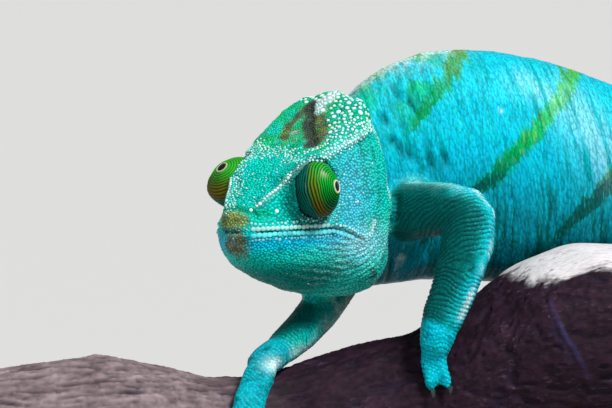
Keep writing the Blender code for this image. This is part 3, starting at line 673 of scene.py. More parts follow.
def markings(places, shares):
    # how strongly each colour lies on each point, painted shade and painted highlights among them, how far
    # it is from teal to cyan, and where the flanks are
    local, body = inHead(places), inBody(places)
    side, leaning = mirrored(local), leant(body)
    (x, y, z), (back, _, up) = body.T, side.T
    isHead, isNeck, isTrunk, isTail, isLimb, isPaw = shares.T
    on, torso = ramp(isHead, 0.3, 0.7), isTrunk + isNeck
    streak, hair = noise(leaning, *grain["streak"]), noise(leaning, *grain["hair"])
    masks = {name: np.zeros(len(places)) for name in ("green", "yellow", "pale", "shadeAndDark", "brown", "blue")}

    def lay(name, where, *amounts):
        masks[name] = np.maximum(masks[name], where * np.maximum.reduce(amounts))

    def patchy(points, size, seed, start, end):
        return ramp(noise(points, size, seed), start, end)

    crest, along = fromLine(side, face["crest"])
    flap, down = fromLine(side, face["flap"])
    saddle, fold, corner, mouth, cheek, pleat = (
        fromLine(side, face[line])[0]
        for line in ("saddle", "cornerFold", "corner", "mouth", "cheek", "flapFold")
    )
    hollow, rust, olive, cream = (
        fromLine(local, face[line])[0] for line in ("hollow", "rust", "olive", "cream")
    )
    elbow, bent = fromLine(body, bands["elbow"])
    inner, armTop = (fromLine(body, bands[line])[0] for line in ("inner", "armTop"))
    nearCorner = fromSpot(side, (14, 17.5, -17), (9, 6, 5))
    knob = on * (1 - ramp(fromSpot(side, (-20.4, 0, -9.2), (3.6, 5.4, 2.8)), 0.6, 1.1))

    # oblique bands down the flanks and round the tail
    across = x - bands["lean"] * z - bands["first"] + 1.2 * streak
    across = (across + 2.6 * ramp(z, 21, 31) * (1 - ramp(x, 66, 76))) / bands["apart"]
    jagged = 0.9 * noise(leaning, (1.1, 30, 7), 44) + 0.9 * hair
    off = np.abs(across - np.round(across)) * bands["apart"] + jagged
    low = ramp(z, *bands["fade"])
    width = bands["width"] * (0.6 + 0.6 * low) * (0.72 + 0.28 * ramp(x, 56, 72))
    band = (isTrunk + 0.5 * isNeck) * (1 - ramp(off, width * 0.4, width * 1.1)) * (0.35 + 0.65 * low)
    band *= ramp(x, 38, 44) * (1 - 0.75 * patchy(body, 3, 45, 0, 0.8) * (1 - low))
    rings = ramp(np.sin(2 * math.pi * x / 17) + 0.4 * noise(body, 4, 42), 0.45, 0.9)
    crown = ramp(overCrest(side), -0.2, 1.5) * (0.25 + 0.75 * ramp(back, -6, 6))
    nape = torso * ramp(z, 8, 26) * (1 - ramp(x, 46, 60))
    lay("green", on, crown * (0.52 + 0.45 * noise(local, (3.2, 2, 3.2), 43)), 0.5 * knob,
        0.5 * bell(saddle, 1.6))
    lay("green", 1, band, 0.8 * isTail * rings, 0.8 * nape * patchy(body, (5, 5, 3), 46, -0.3, 0.5))

    specks = patchy(leaning, (0.9, 2.5, 2.6), 47, 0.2, 0.75)
    streaked = 0.55 + 0.45 * noise(local, (3, 0.8, 3), 59)
    ridge = bell(y + 0.6, 3.6) * torso * ramp(z, 10, 20)
    stained = np.maximum(bell(rust, 2), bell(olive, 2.4)) * patchy(local, 1.1, 60, -0.5, 0.5)
    chin = fromSpot(local, (-20.8, -0.9, -16), (4, 4, 4.8)) + 0.3 * noise(local, 1.8, 53)
    patch = (1 - ramp(chin, 0.55, 1.2)) * (0.85 + 0.15 * noise(local, 0.9, 82))
    lay("yellow", on, 0.3 * stained, 0.12 * patch)
    lay("yellow", band, specks * ramp(z, -6, 12) * 0.2 * ramp(x, 56, 70), bell(z - 29, 3.5) * 0.25)
    lay("yellow", 1, knob * 0.68 * streaked, ridge * (0.3 * band + 0.3 * (1 - ramp(x, 55, 70))))

    rough = 0.9 * noise(local, 1.5, 52)
    lilac = fromSpot(local, face["lilac"]) + 0.8 * rough
    cheeks = bell(fromSpot(side, (11, 16, -4), (8, 8, 14)), 1)
    throat, ripple = throatFolds(side, local)
    lay("pale", on, 0.4 * bell(crest, 0.75) * ramp(along, 0, 0.15), 0.8 * bell(fold, 0.7),
        throat * (0.12 + 0.5 * bell(nearCorner, 0.9)) * ramp(ripple, 0, 0.9),
        0.45 * (1 - ramp(lilac, 0.5, 1.8)), 0.95 * (1 - ramp(cream + rough, 1, 2.8)),
        0.1 * cheeks, 0.3 * bell(nearCorner, 1.1),
        0.22 * (1 - ramp(chin, 0.2, 0.9)) * patchy(local, 1, 65, -0.3, 0.5))
    # painted highlights (sheen) along the upper flanks
    for line, wide in zip(bands["sheen"], (4.5, 7.5)):
        sheen, _ = fromLine(foldedBody(body), line)
        lay("pale", isTrunk, 0.26 * bell(sheen, wide) * ramp(streak + hair, -1.2, 0.9))
    wrinkled = patchy(body, (1, 4, 2.6), 55, 0.35, 0.7) * patchy(body, 7, 56, 0, 0.4)
    # paleAndLit breaks up the painted highlight along the near arm's lit outer edge (elbow), with a gap
    # partway; lit is the painted highlight along its top
    paleAndLit = patchy(body, 2.4, 50, -0.5, 0.3)
    paleAndLit = paleAndLit * (1 - 0.55 * ramp(bent, 0.35, 0.5) * (1 - ramp(bent, 0.75, 0.8)))
    lit = isLimb * bell(armTop, 3)
    lay("pale", isNeck, 0.3 * wrinkled * ramp(12 - z, 0, 8),
        0.8 * bell(fromSpot(body, (39, -13.6, -24.2), (2, 3, 1.6)), 0.7))
    lay("pale", isLimb, 0.95 * bell(elbow, 1.3) * paleAndLit,
        0.5 * bell(inner, 1.8) * patchy(body, 4, 69, -0.6, 0.2))
    lay("pale", 1, (on + isNeck) * 0.8 * bell(flap, 0.55) * patchy(local, 3, 48, -0.7, 0.2),
        0.62 * ridge * (1 - ramp(x, 50, 66)) * patchy(body, 1.6, 67, -0.6, 0.2),
        # a pale spot on the far hand, painted highlight
        0.9 * bell(fromSpot(body, (-4, -28.5, -49.8), (3.2, 3, 2)), 0.9),
        0.7 * ramp(fromSpot(body, (68.9, -14.4, 16.6)), 1, 0.4),
        0.22 * lit * patchy(body, 3, 81, -0.8, 0.2))

    near, ring = ringWrinkles(side)
    streaky = ramp(-streak - 0.5 * hair, 0.15, 0.8) * (0.4 + 0.6 * ramp(60 - x, 0, 24))
    # painted shade in the wrinkled skin round the turrets and in the groove over the snout
    lay("shadeAndDark", on, near * (0.9 - 0.4 * ring), 0.7 * bell(saddle, 0.8))
    # painted shade in the folds behind the shoulder and in the furrows of the flanks; the bands darker
    # towards the bottom and the front, and dark patches on the nape
    lay("shadeAndDark", torso, 0.6 * gashes(body, leaning), 0.5 * streaky * ramp(26 - z, 0, 12),
        0.35 * ramp(-hair, 0, 0.75))
    lay("shadeAndDark", 1, 0.6 * band * ramp(14 - z, 0, 18), 0.4 * band * (1 - ramp(x, 60, 72)),
        0.3 * nape * patchy(body, (4, 4, 6), 83, -0.4, 0.5))
    # painted shade, darker towards the belly
    masks["shadeAndDark"] = np.clip(masks["shadeAndDark"] + 0.55 * torso * ramp(10 - z, 0, 28), 0, 1)
    # painted shade on the limbs: darkest away from the lit edges and in the creases, least on the lit top
    shaded = (0.15 + 0.75 * ramp(np.minimum(elbow, 0.9 * inner), 2, 6.5)) * (1 - 0.8 * lit)
    creaseShade = 1 - ramp(limbCreases(places), 0.25, 0.9)
    lay("shadeAndDark", isLimb, (shaded + (0.95 - shaded) * creaseShade) * (1 - bell(elbow, 2.4)))
    lay("shadeAndDark", isPaw, 0.3 * patchy(body, 1.6, 70, 0, 0.7) + 0.35 * creaseShade)
    # dark mottling on the head, and painted shade in the mouth line, the grooves of the cheek and the flap,
    # the casque's hollow and under the jaw
    lay("shadeAndDark", on, 0.3 * patchy(local, (2.6, 2, 1.8), 66, 0.05, 0.7), bell(mouth, 0.34),
        0.55 * bell(cheek, 0.9) * patchy(local, 2.5, 57, -0.6, 0.4),
        0.6 * (1 - ramp(hollow + rough, 0.9, 2.6)),
        0.5 * bell(pleat, 1) * patchy(local, (3, 3, 5), 84, -0.6, 0.3),
        0.45 * ramp(-up, 19, 25) * (1 - ramp(back, 2, 12)))
    # painted shadow behind the flap, and painted shade under the trunk
    lay("shadeAndDark", 1, (isNeck + on) * bell(flap - 2.2, 1.1) * behindFlap(side) * 0.9 * ramp(down, 0.05, 0.2),
        0.35 * ramp(-z, 18, 34) * torso)
    # painted shade on the paws, most on the far hand, and under the jaw
    shade = np.clip(masks["shadeAndDark"] + 0.1 * torso + isPaw * (0.12 + 0.25 * ramp(x, 15, 5)), 0, 1)
    masks["shadeAndDark"] = shade + on * 0.3 * ramp(-up, 18, 26) * (1 - ramp(back, 6, 16))

    lip = fromSpot(side, (-21.5, 0.5, -11.6), (2.5, 3.6, 1.6))
    lay("brown", on, 1 - ramp(hollow + rough, 1.3, 3), 0.8 * (1 - ramp(olive + 1.4 * rough, 1.4, 2.8)),
        0.8 * (1 - ramp(rust + 1.6 * rough, 0.5, 1.6)), 0.6 * (1 - ramp(lilac, 1, 2.4)), patch,
        0.85 * knob * ramp(back, -15, -20) * (1 - 0.4 * streaked), 0.65 * (1 - ramp(lip, 0.5, 1.2)),
        0.9 * bell(corner, 0.5))
    lay("blue", on, bell(up + 15.2, 2.6) * (1 - ramp(back, 4, 12)) * 0.8)
    lay("blue", isTrunk, ramp(18 - z, 0, 26) * (0.4 + 0.3 * streak + 0.3 * hair))
    lay("blue", isNeck, 0.55 * ramp(12 - z, 0, 16))
    masks["blue"] = masks["blue"] * (1 - masks["brown"])
    cyan = on * (0.1 + 0.9 * cheeks) + isNeck * 0.75 + isTrunk * 0.85 + (isTail + isPaw) * 0.8
    cyan = np.maximum(cyan + isLimb * (0.3 + 0.5 * bell(elbow, 4)), on * 0.8 * bell(nearCorner, 1.3))
    cyan = cyan + 0.12 * noise(body, 5, 58) + 0.2 * hair * torso
    masks.update(cyan=cyan, flank=torso * ramp(34 - z, 0, 6))
    return np.clip(list(masks.values()), 0, 1).T


def mark(mesh, masks, rim, tint, bead):
    # rim: painted shade by how far out on its scale a point lies, and in folds and creases; tint: from teal
    # to cyan; bead: how white a scale is
    setColours(mesh, "hues", *masks.T[:3])
    setColours(mesh, "tones", *masks.T[3:6])
    setColours(mesh, "grain", rim, np.clip(masks[:, 6] + tint, 0, 1), bead, masks[:, 7])


# the skin between the scales gets painted shade, more on the head
mark(skinMesh, markings(places, shares), 0.5 + 0.35 * onHead, 0, 0)
print("skin: marked")

# coat colours; shadeAndDark is also the colour of painted shade, pale also that of painted highlights, and
# highlight that of painted highlights on the flanks' streaks
hues = {
    "teal": (0.001, 0.64, 0.48),
    "cyan": (0.001, 0.57, 0.78),
    "highlight": (0.005, 0.7, 0.86),
    "blue": (0.001, 0.5, 0.82),
    "green": (0.001, 0.5, 0.06),
    "yellow": (0.5, 0.48, 0.03),
    "pale": (0.72, 0.96, 0.94),
    "shadeAndDark": (0.001, 0.075, 0.066),
    "brown": (0.11, 0.04, 0.014),
}


def coatLook(wire, roughness, depth):
    green, yellow, pale = wire.stored("hues")
    shadeAndDark, brown, blue = wire.stored("tones")
    rim, tint, bead = wire.stored("grain")
    flank = wire.node("Attribute", {"attribute_name": "grain"}, {}, 3)
    mottle, fine = wire.noise(240, 3), wire.noise(1500, 2)
    # thin upright streaks, which cross the scales of the flanks, with painted shade in their grooves and
    # painted highlights on their ridges
    thread = wire.noise(1500, 3, Vector=wire.stretched((1, 0.3, 0.13), 0.12))
    white = pale.sums("MAXIMUM", pale, bead)
    colour = tint.mix(hues["teal"], hues["cyan"])
    for name, share in (
        ("blue", blue), ("green", green), ("brown", brown), ("yellow", yellow), ("shadeAndDark", shadeAndDark),
        ("pale", white), ("shadeAndDark", flank * thread.between(0.52, 0.34) * 0.3),
        ("highlight", flank * thread.between(0.54, 0.7) * 0.3),
    ):
        colour = colour.toward(hues[name], share)
    height = fine * 0.35 + mottle * 0.65 + flank * thread * 1.5
    return {
        "Base Color": colour * ((1.04 - rim * 0.68) * (0.82 + mottle * 0.36)),
        "Roughness": roughness + (mottle - 0.5) * 0.2,
        "Normal": height.bump(0.35, depth * mm),
    }


sheen = {"Specular IOR Level": 0.27, "Specular Tint": (0.08, 0.8, 1, 1)}
skinMaterial = newMaterial("chameleon_skin", coatLook, sheen, 0.46, 0.25)
scaleMaterial = newMaterial("chameleon_scales", coatLook, sheen, 0.38, 0.12)
newPiece("skin", skinMesh, skinMaterial, "skin", *fleshNodes)

scales = {  # by group: head, neck, trunk, tail, limbs, feet
    "spacing": np.array((0.6, 0.66, 0.66, 0.82, 0.64, 0.64)) * 1,
    "height": (0.14, 0.035, 0.022, 0.08, 0.03, 0.05),
    # rim: how dark the painted shade round their edges is
    "rim": (0.6, 0.14, 0.05, 0.5, 0.16, 0.4),  # how dark their edges are
    # creaseShading: how dark the painted shade in the limbs' creases is on them
    "creaseShading": (0, 0, 0, 0, 0.85, 0.4),  # how dark the limbs' creases are on them
    "vary": (0.15, 0.06, 0.03, 0.1, 0.06, 0.1),  # how much one differs from the next
    "upright": 2.4,  # how much taller than wide those of the flanks are
    "mouthClear": 0.34,
    "most": 10500,  # in one piece
    "uvPatch": 0.003,
}
granule, bead, lipPlate, casqueBead = range(4)  # kinds of scale
raised = np.array((1, 1.5, 1.3, 1.8))  # by kind

places = placesOf(skinMesh)
skinNormals = normalsOf(skinMesh)
skinMesh.calc_loop_triangles()
triangles, loops = (listed(skinMesh.loop_triangles, name, 3, np.int32) for name in ("vertices", "loops"))
uvs = listed(skinMesh.uv_layers["OFBake"].uv, "vector", 2)
skinTree = BVHTree.FromPolygons(places.tolist(), triangles.tolist())
corners = places[triangles]
areas = lengths(np.cross(corners[:, 1] - corners[:, 0], corners[:, 2] - corners[:, 0])) / 2


def spacingAt(points, shares):
    side = mirrored(inHead(points))
    more = 0.2 * bell(fromSpot(side, (14, 16.5, 0), (8, 6, 10)), 1)
    more = more - 0.2 * bell(fromSpot(side, (-20, 0, -9)), 4)
    more += 0.25 * bell(fromSpot(side, (-12, 9, -6), (7, 6, 5)), 1) - 0.16 * ramp(overCrest(side), -1, 0.5)
    more -= 0.15 * (1 - ramp(fromSpot(side, face["eye"]), 9, 12))
    return shares @ scales["spacing"] * (1 + shares[:, 0] * more)


class Sites:
    # where each scale is rooted: its triangle, weights in it, spacing, how white it is, and its kind
    def __init__(self, triangle, weights, spacing, white, kind):
        self.triangle, self.weights = triangle, weights
        self.spacing, self.white, self.kind = spacing, white, kind

    def blend(self, values, faces=triangles):
        return np.einsum("ij,ijk->ik", self.weights, values[faces[self.triangle]])

    def taken(self, chosen):
        return Sites(*(values[chosen] for values in vars(self).values()))


def joined(*sets):
    return Sites(*(np.concatenate([vars(s)[k] for s in sets]) for k in vars(sets[0])))


def scattered(count, likely):
    order = rng.choice(len(triangles), count, p=likely / likely.sum())
    a, b = rng.random((2, count))
    over = a + b > 1
    a, b = np.where(over, 1 - a, a), np.where(over, 1 - b, b)
    return Sites(order, np.stack([1 - a - b, a, b], axis=1), *np.zeros((3, count)))


def stepsAlong(line, step):
    run = np.concatenate([[0], np.cumsum(lengths(np.diff(line, axis=0)))])
    at = np.arange(step / 2, run[-1], step)
    return np.column_stack([np.interp(at, run, column) for column in line.T])


def onSkin(points, spacing, white, kind=bead):
    # sites dropped onto the skin
    found = [skinTree.find_nearest(p) for p in points.tolist()]
    index, hit = np.array([f[2] for f in found]), np.array([f[0] for f in found])
    a, b, c = corners[index].transpose(1, 0, 2)
    normal = np.cross(b - a, c - a)
    area = (normal**2).sum(axis=1)
    second = (np.cross(hit - a, c - a) * normal).sum(axis=1) / area
    third = (np.cross(b - a, hit - a) * normal).sum(axis=1) / area
    weights = np.clip(np.stack([1 - second - third, second, third], axis=1), 0, 1)
    weights /= weights.sum(axis=1, keepdims=True)
    return Sites(index, weights, *(np.full(len(index), v) for v in (float(spacing), float(white), kind)))


def alongLine(line, shift, spacing, white, kind=bead, jitter=0.15):
    # sites at even steps on a line of head places and on its mirror image
    points = stepsAlong(np.array(line) + shift, spacing)
    points = np.concatenate([points, points * (1, -1, 1)])
    sites = onSkin(fromHead(points + rng.normal(0, jitter * spacing, points.shape)), spacing, white, kind)
    if kind == bead:
        sites.spacing *= rng.uniform(0.72, 1.1, len(points))
        sites.white *= rng.uniform(0.6, 1, len(points))
    else:
        sites.spacing *= 0.76
    return sites


def thinned(sites, squash=1):
    # keeps the earlier of any two that are closer than the mean of their spacings
    points = (sites.blend(places) * (1, 1, 1 / squash)).tolist()
    tree = KDTree(len(points))
    for i, point in enumerate(points):
        tree.insert(point, i)
    tree.balance()
    alive = np.ones(len(points), bool)
    spacing, widest = sites.spacing.tolist(), float(sites.spacing.max())
    for i, point in enumerate(points):
        if alive[i]:
            for _, j, away in tree.find_range(point, (spacing[i] + widest) / 2):
                if j > i and away < (spacing[i] + spacing[j]) / 2:
                    alive[j] = False
    return sites.taken(np.flatnonzero(alive))


crest, labials, corner = face["crest"], face["labials"], face["corner"]
rows = [
    alongLine(labials, (0, 0, 0.85), 1.38, 0.55, lipPlate, 0.02),
    alongLine([*labials, *corner[1:3]], (0, 0.1, -0.92), 1.48, 0.14, lipPlate, 0.02),
    alongLine(labials, (0, 0.1, -2.1), 0.95, 0.25, bead, 0.1),
    onSkin(fromHead([(-12.9, -8.9, -6.8)]), 1.2, 1),
    alongLine(crest[:5], 0, 0.95, 1, bead, 0.05),
    alongLine(crest[3:], 0, 0.9, 1),
    alongLine(crest[3:], (0.3, 0.4, -0.8), 0.75, 0.85),
    alongLine(crest[4:], (0.3, -0.7, 0.6), 0.85, 0.9),
    alongLine(crest[6:], (0.3, -1.5, 1.1), 0.95, 0.8),
    alongLine(face["vee"], 0, 0.75, 1, bead, 0.05),
    alongLine(face["vee"], (0.9, -0.3, 0.2), 0.8, 0.8),
    alongLine(face["brow"], 0, 0.8, 0.8),
    alongLine(labials, (0, 0, 2.2), 0.95, 0.4),
    alongLine(corner, (0, 0, 1.3), 0.85, 0.8),
    alongLine(face["cornerFold"], 0, 0.8, 0.8),
]
nape = [(27, 0, 22), (31, 0, 25), (35, 0, 28), (40, 0, 30.4), (46, 0, 32.4), (52, 0, 33.8), (60, 0, 34.4)]
for shift in (-1.4, -0.4, 0.5, 1.4):
    spots = stepsAlong(np.array(nape) + (0, shift, 0), 1.1)
    rows.append(onSkin(spots + bodyPlace + rng.normal(0, 0.25, spots.shape), 1, 0.6))

# where white beads crowd the head: a line of head places, how far from it, how densely and how large
beadFields = [
    ([(25.6, 4.3, 22), (24.2, -2.6, 22.8), (22.2, -6.6, 20.8), (20.5, -9.8, 18.4)], 4.2, 1, 1.75),
    ([(19.5, -9.2, 18.4), (15.5, -9.8, 15.4), (12.1, -9.5, 12.8)], 2.8, 0.5, 1.6),
    ([(18.5, -13, 15), (14.1, -13.6, 12.8), (10, -13.8, 10.8)], 2.2, 1, 1.15),
    ([(10, -13.8, 10.8), (4, -13.3, 8.2), (0, -12, 6.8)], 1.6, 0.6, 0.8),
    ([(25, 9, 19), (17, 14.6, 13), (6, 14, 9)], 1.2, 0.2, 0.7),
    ([(-1.5, 9.5, 6), (2, 11, 8)], 2.6, 0.8, 0.7),
    ([(-2, -9, 5.2), (1.7, 1, 7.6), (0, 8, 7)], 2.6, 0.22, 0.74),
    ([(-17.5, 3, -4.6), (-9, 7.5, 1.6), (-1.5, 9.5, 6)], 1.8, 0.35, 0.62),
    ([(-12, 0, -1.5), (-3, 0, 4.5)], 6.5, 0.035, 0.55),
    ([(-19, 0, -7), (-20, -3, -10)], 3, 0.05, 0.6),
    ([(-6, -12.5, -9.5), (2, -14.5, -10), (6, -15.5, -8), (8, -15.8, -2)], 1.6, 0.1, 0.62),
    ([(10, -15.8, 4), (12, -16.4, -4)], 3.5, 0.03, 0.7),
]
centres, centreShares = corners.mean(axis=1), shares[triangles].mean(axis=1)
local = inHead(centres)
fields = np.array([share * bell(fromLine(local, line)[0], wide) for line, wide, share, _ in beadFields])
crowd, field = fields.max(axis=0), fields.argmax(axis=0)
bare = np.max([bell(fromLine(local, face[line])[0], 2.4) for line in ("hollow", "rust", "olive")], axis=0)
crowd = crowd * (1 - bare) + 0.002
beads = scattered(9000, areas * centreShares[:, 0] * crowd + 1e-9)
count, size = len(beads.white), np.array([row[3] for row in beadFields])[field[beads.triangle]]
beads.spacing = size * rng.uniform(0.7, 1.15, count)
beads.white = np.where(size > 0.9, rng.uniform(0.6, 1, count), rng.uniform(0.15, 0.85, count))
beads.kind = np.where(size > 0.9, casqueBead, bead)
kept = rng.random(count) < 0.08 + 0.92 * np.sqrt(crowd[beads.triangle])
beads = beads.taken(kept & (bare[beads.triangle] < 0.45))

likely = areas / spacingAt(centres, centreShares) ** 2
grains = scattered(int(likely.sum() * 4), likely)
grains.spacing = spacingAt(grains.blend(places), grains.blend(shares))
grains.spacing = grains.spacing * rng.uniform(0.88, 1.15, len(grains.white))
sites = joined(*rows, beads, grains)
onFlank = np.isin(nearestFlesh(sites.blend(places))[0], (1, 2))
sites = joined(thinned(sites.taken(~onFlank)), thinned(sites.taken(onFlank), scales["upright"]))
side = mirrored(inHead(sites.blend(places)))
nearest = np.minimum(*(fromLine(side, face[line])[0] for line in ("mouth", "corner")))
sites = sites.taken(nearest > scales["mouthClear"])
roots, rootShares, rootUvs = sites.blend(places), sites.blend(shares), sites.blend(uvs, loops)
rootNormals = unit(sites.blend(skinNormals))
rootMasks = markings(roots, rootShares)
rootLabels, rootAxes = nearestFlesh(roots)
print("scales:", len(roots), "sites")


def dome(sides, *rings):
    # unit dome: rings of (radius, height) and a top point
    turns = np.linspace(0, 2 * math.pi, sides, endpoint=False)
    verts = [(r * math.cos(t), r * math.sin(t), h) for r, h in rings for t in turns] + [(0, 0, 1)]
    last, top = (len(rings) - 1) * sides, len(verts) - 1
    caps = [(last + i, last + (i + 1) % sides, top) for i in range(sides)]
    return np.array(verts), ringFaces(len(rings), sides) + caps


def copiedMesh(name, places, faces):
    # one mesh of many copies of a shape, each with its own places
    count, n = places.shape[:2]
    flat = np.concatenate([np.array(f) for f in faces])
    starts = np.cumsum([0] + [len(f) for f in faces[:-1]])
    copies = np.arange(count)[:, None]
    mesh = bpy.data.meshes.new(name)
    mesh.vertices.add(n * count)
    mesh.loops.add(len(flat) * count)
    mesh.polygons.add(len(faces) * count)
    mesh.loops.foreach_set("vertex_index", (flat + n * copies).astype(np.int32).ravel())
    mesh.polygons.foreach_set("loop_start", (starts + len(flat) * copies).astype(np.int32).ravel())
    setPlaces(mesh, places.reshape(-1, 3))
    mesh.update(calc_edges=True)
    mesh.validate()
    mesh.shade_smooth()
    return mesh


def scalePiece(name, chosen, template, size):
    verts, faces = template
    n, count = len(verts), len(chosen)
    normal, label, share = rootNormals[chosen], rootLabels[chosen], rootShares[chosen]
    kind = sites.kind[chosen].astype(int)
    onTrunk = np.isin(label, (1, 2))
    flow = np.where((label == 0)[:, None], toBack, rootAxes[chosen])
    flow = np.where(onTrunk[:, None], (-0.12, 0, 1), flow)
    first = unit(flow - (flow * normal).sum(axis=1, keepdims=True) * normal)
    second = np.cross(normal, first)
    turn = np.where(kind == lipPlate, math.pi / 4, rng.uniform(0, 2 * math.pi, count))[:, None]
    width = sites.spacing[chosen] * size * rng.uniform(0.95, 1.08, count)
    height = (share @ np.array(scales["height"])) * raised[kind] * rng.uniform(0.8, 1.2, count)
    tall = 1 + (math.sqrt(scales["upright"]) - 1) * (1 - normal[:, 2] ** 2)
    stretch = np.where(kind > granule, 1 + 0.12 * (kind == lipPlate), np.where(onTrunk, tall, 1.05))
    width = np.where(onTrunk & (kind == granule), width * tall, width)[:, None]
    cos, sin, stretch = np.cos(turn), np.sin(turn), stretch[:, None]
    x = (verts[:, 0] * cos - verts[:, 1] * sin) * width * stretch
    y = (verts[:, 0] * sin + verts[:, 1] * cos) * width / stretch
    axes = zip((x, y, verts[:, 2] * height[:, None]), (first, second, normal))
    made = roots[chosen][:, None] + sum(far[..., None] * axis[:, None] for far, axis in axes)
    mesh = copiedMesh(name, made, faces)
    patch = (rootUvs[chosen][:, None] + verts[:, :2] * scales["uvPatch"] / 2).reshape(-1, 2)
    owner = listed(mesh.loops, "vertex_index", 1, np.int32).ravel()
    mesh.uv_layers.new(name="OFBake").uv.foreach_set("vector", patch[owner].astype(np.float32).ravel())
    # each scale has painted shade round its rim, in the flanks' folds and in the limbs' creases, and is a
    # little darker or lighter, greener or bluer than the next
    back, out, up = mirrored(inHead(roots[chosen])).T
    cheek = 0.75 * ramp(back, 3, 10) * ramp(up, -14, -7) * ramp(out, 9, 13)
    smooth = share[:, 0] * np.maximum(cheek, 0.35 * bell(up + 15.5, 3))
    rimShare = (share @ np.array(scales["rim"])) * (1 - smooth)
    rim = np.clip(1.1 - verts[:, 2] * 1.7, 0, 1) * rimShare[:, None]
    points = made.reshape(-1, 3)
    if onTrunk.mean() > 0.5:
        rim = np.maximum(rim, gashes(inBody(points), leant(inBody(points))).reshape(count, n))
    if np.median(label) >= 4:
        creaseShade = (1 - ramp(limbCreases(points), 0.2, 0.85)).reshape(count, n)
        rim = np.maximum(rim, creaseShade * (share @ scales["creaseShading"])[:, None])
    rim = rim + rng.normal(0.08, 1, (count, 1)) * (share @ np.array(scales["vary"]))[:, None]
    tint, white = (np.repeat(v, n) for v in (rng.normal(0, 0.16, count), sites.white[chosen]))
    mark(mesh, np.repeat(rootMasks[chosen], n, axis=0), np.clip(rim, 0, 1).ravel(), tint, white)
    newPiece(name, mesh, scaleMaterial, "skin")


# the lids turn inside their sockets, so no scale stands on the hidden part
local = inHead(roots)
shown = (fromTurret(local, -1)[0] > turret["room"]) & (fromTurret(local, 1)[0] > turret["room"])
granuleDome = dome(6, (1, -0.35), (0.82, 0.55))
beadDome = dome(7, (1, -0.45), (0.9, 0.4), (0.5, 0.88))
plateDome = dome(8, (1.2, -0.4), (1.06, 0.5), (0.66, 0.92))
for label, region in enumerate(groups):
    chosen = np.flatnonzero(shown & (sites.kind == granule) & (rootLabels == label))
    order = chosen[np.argsort(roots[chosen, 0])]
    for number, part in enumerate(np.array_split(order, max(1, math.ceil(len(chosen) / scales["most"])))):
        scalePiece(f"scales_{region}_{number + 1}", part, granuleDome, 0.64)
scalePiece("beads", np.flatnonzero(shown & (sites.kind == bead)), beadDome, 0.52)
scalePiece("beads_casque", np.flatnonzero(shown & (sites.kind == casqueBead)), beadDome, 0.43)
scalePiece("scales_lips", np.flatnonzero(sites.kind == lipPlate), plateDome, 0.58)
print("scales: made")

eyes = {
    "hole": 12,
    "rear": 148,
    "ring": 0.74,
    "ringDepth": 0.32,
    "lip": [(1, 6.2), (0.985, 6.9), (0.99, 7.2)],  # round the hole: share of its angle, radius
    "ball": 5.5,
    "cornea": 1.72,
    "corneaFlat": 20,
    "pupil": 10.8,
    "field": 45,
}


def turnedShell(name, outline, turns, centre, gaze, relief):
    # outline holds (angle from the gaze in radians, radius); relief adds to the radius at each point
    spin = np.array(Vector((0, 0, 1)).rotation_difference(Vector(gaze @ headAxes)).to_matrix())
    angle, radius = (np.repeat(v, turns) for v in np.array(outline).T)
    phi = np.tile(np.linspace(0, 2 * math.pi, turns, endpoint=False), len(outline))
    rays = np.stack([np.sin(angle) * np.cos(phi), np.sin(angle) * np.sin(phi), np.cos(angle)], axis=1)
    points = (rays * (radius + relief(angle, rays))[:, None]) @ spin.T
    mesh = newMesh(name, centre + points, ringFaces(len(outline), turns, True))
    return mesh, angle, rays, points @ headAxes.T


def ringsAt(angle, rays):
    run = angle * 7.2 / eyes["ring"] + 0.55 * noise(rays * 7, 4.5, 61) + 0.2 * noise(rays * 7, 1.6, 62)
    return np.abs(np.sin(math.pi * run)) ** 0.9


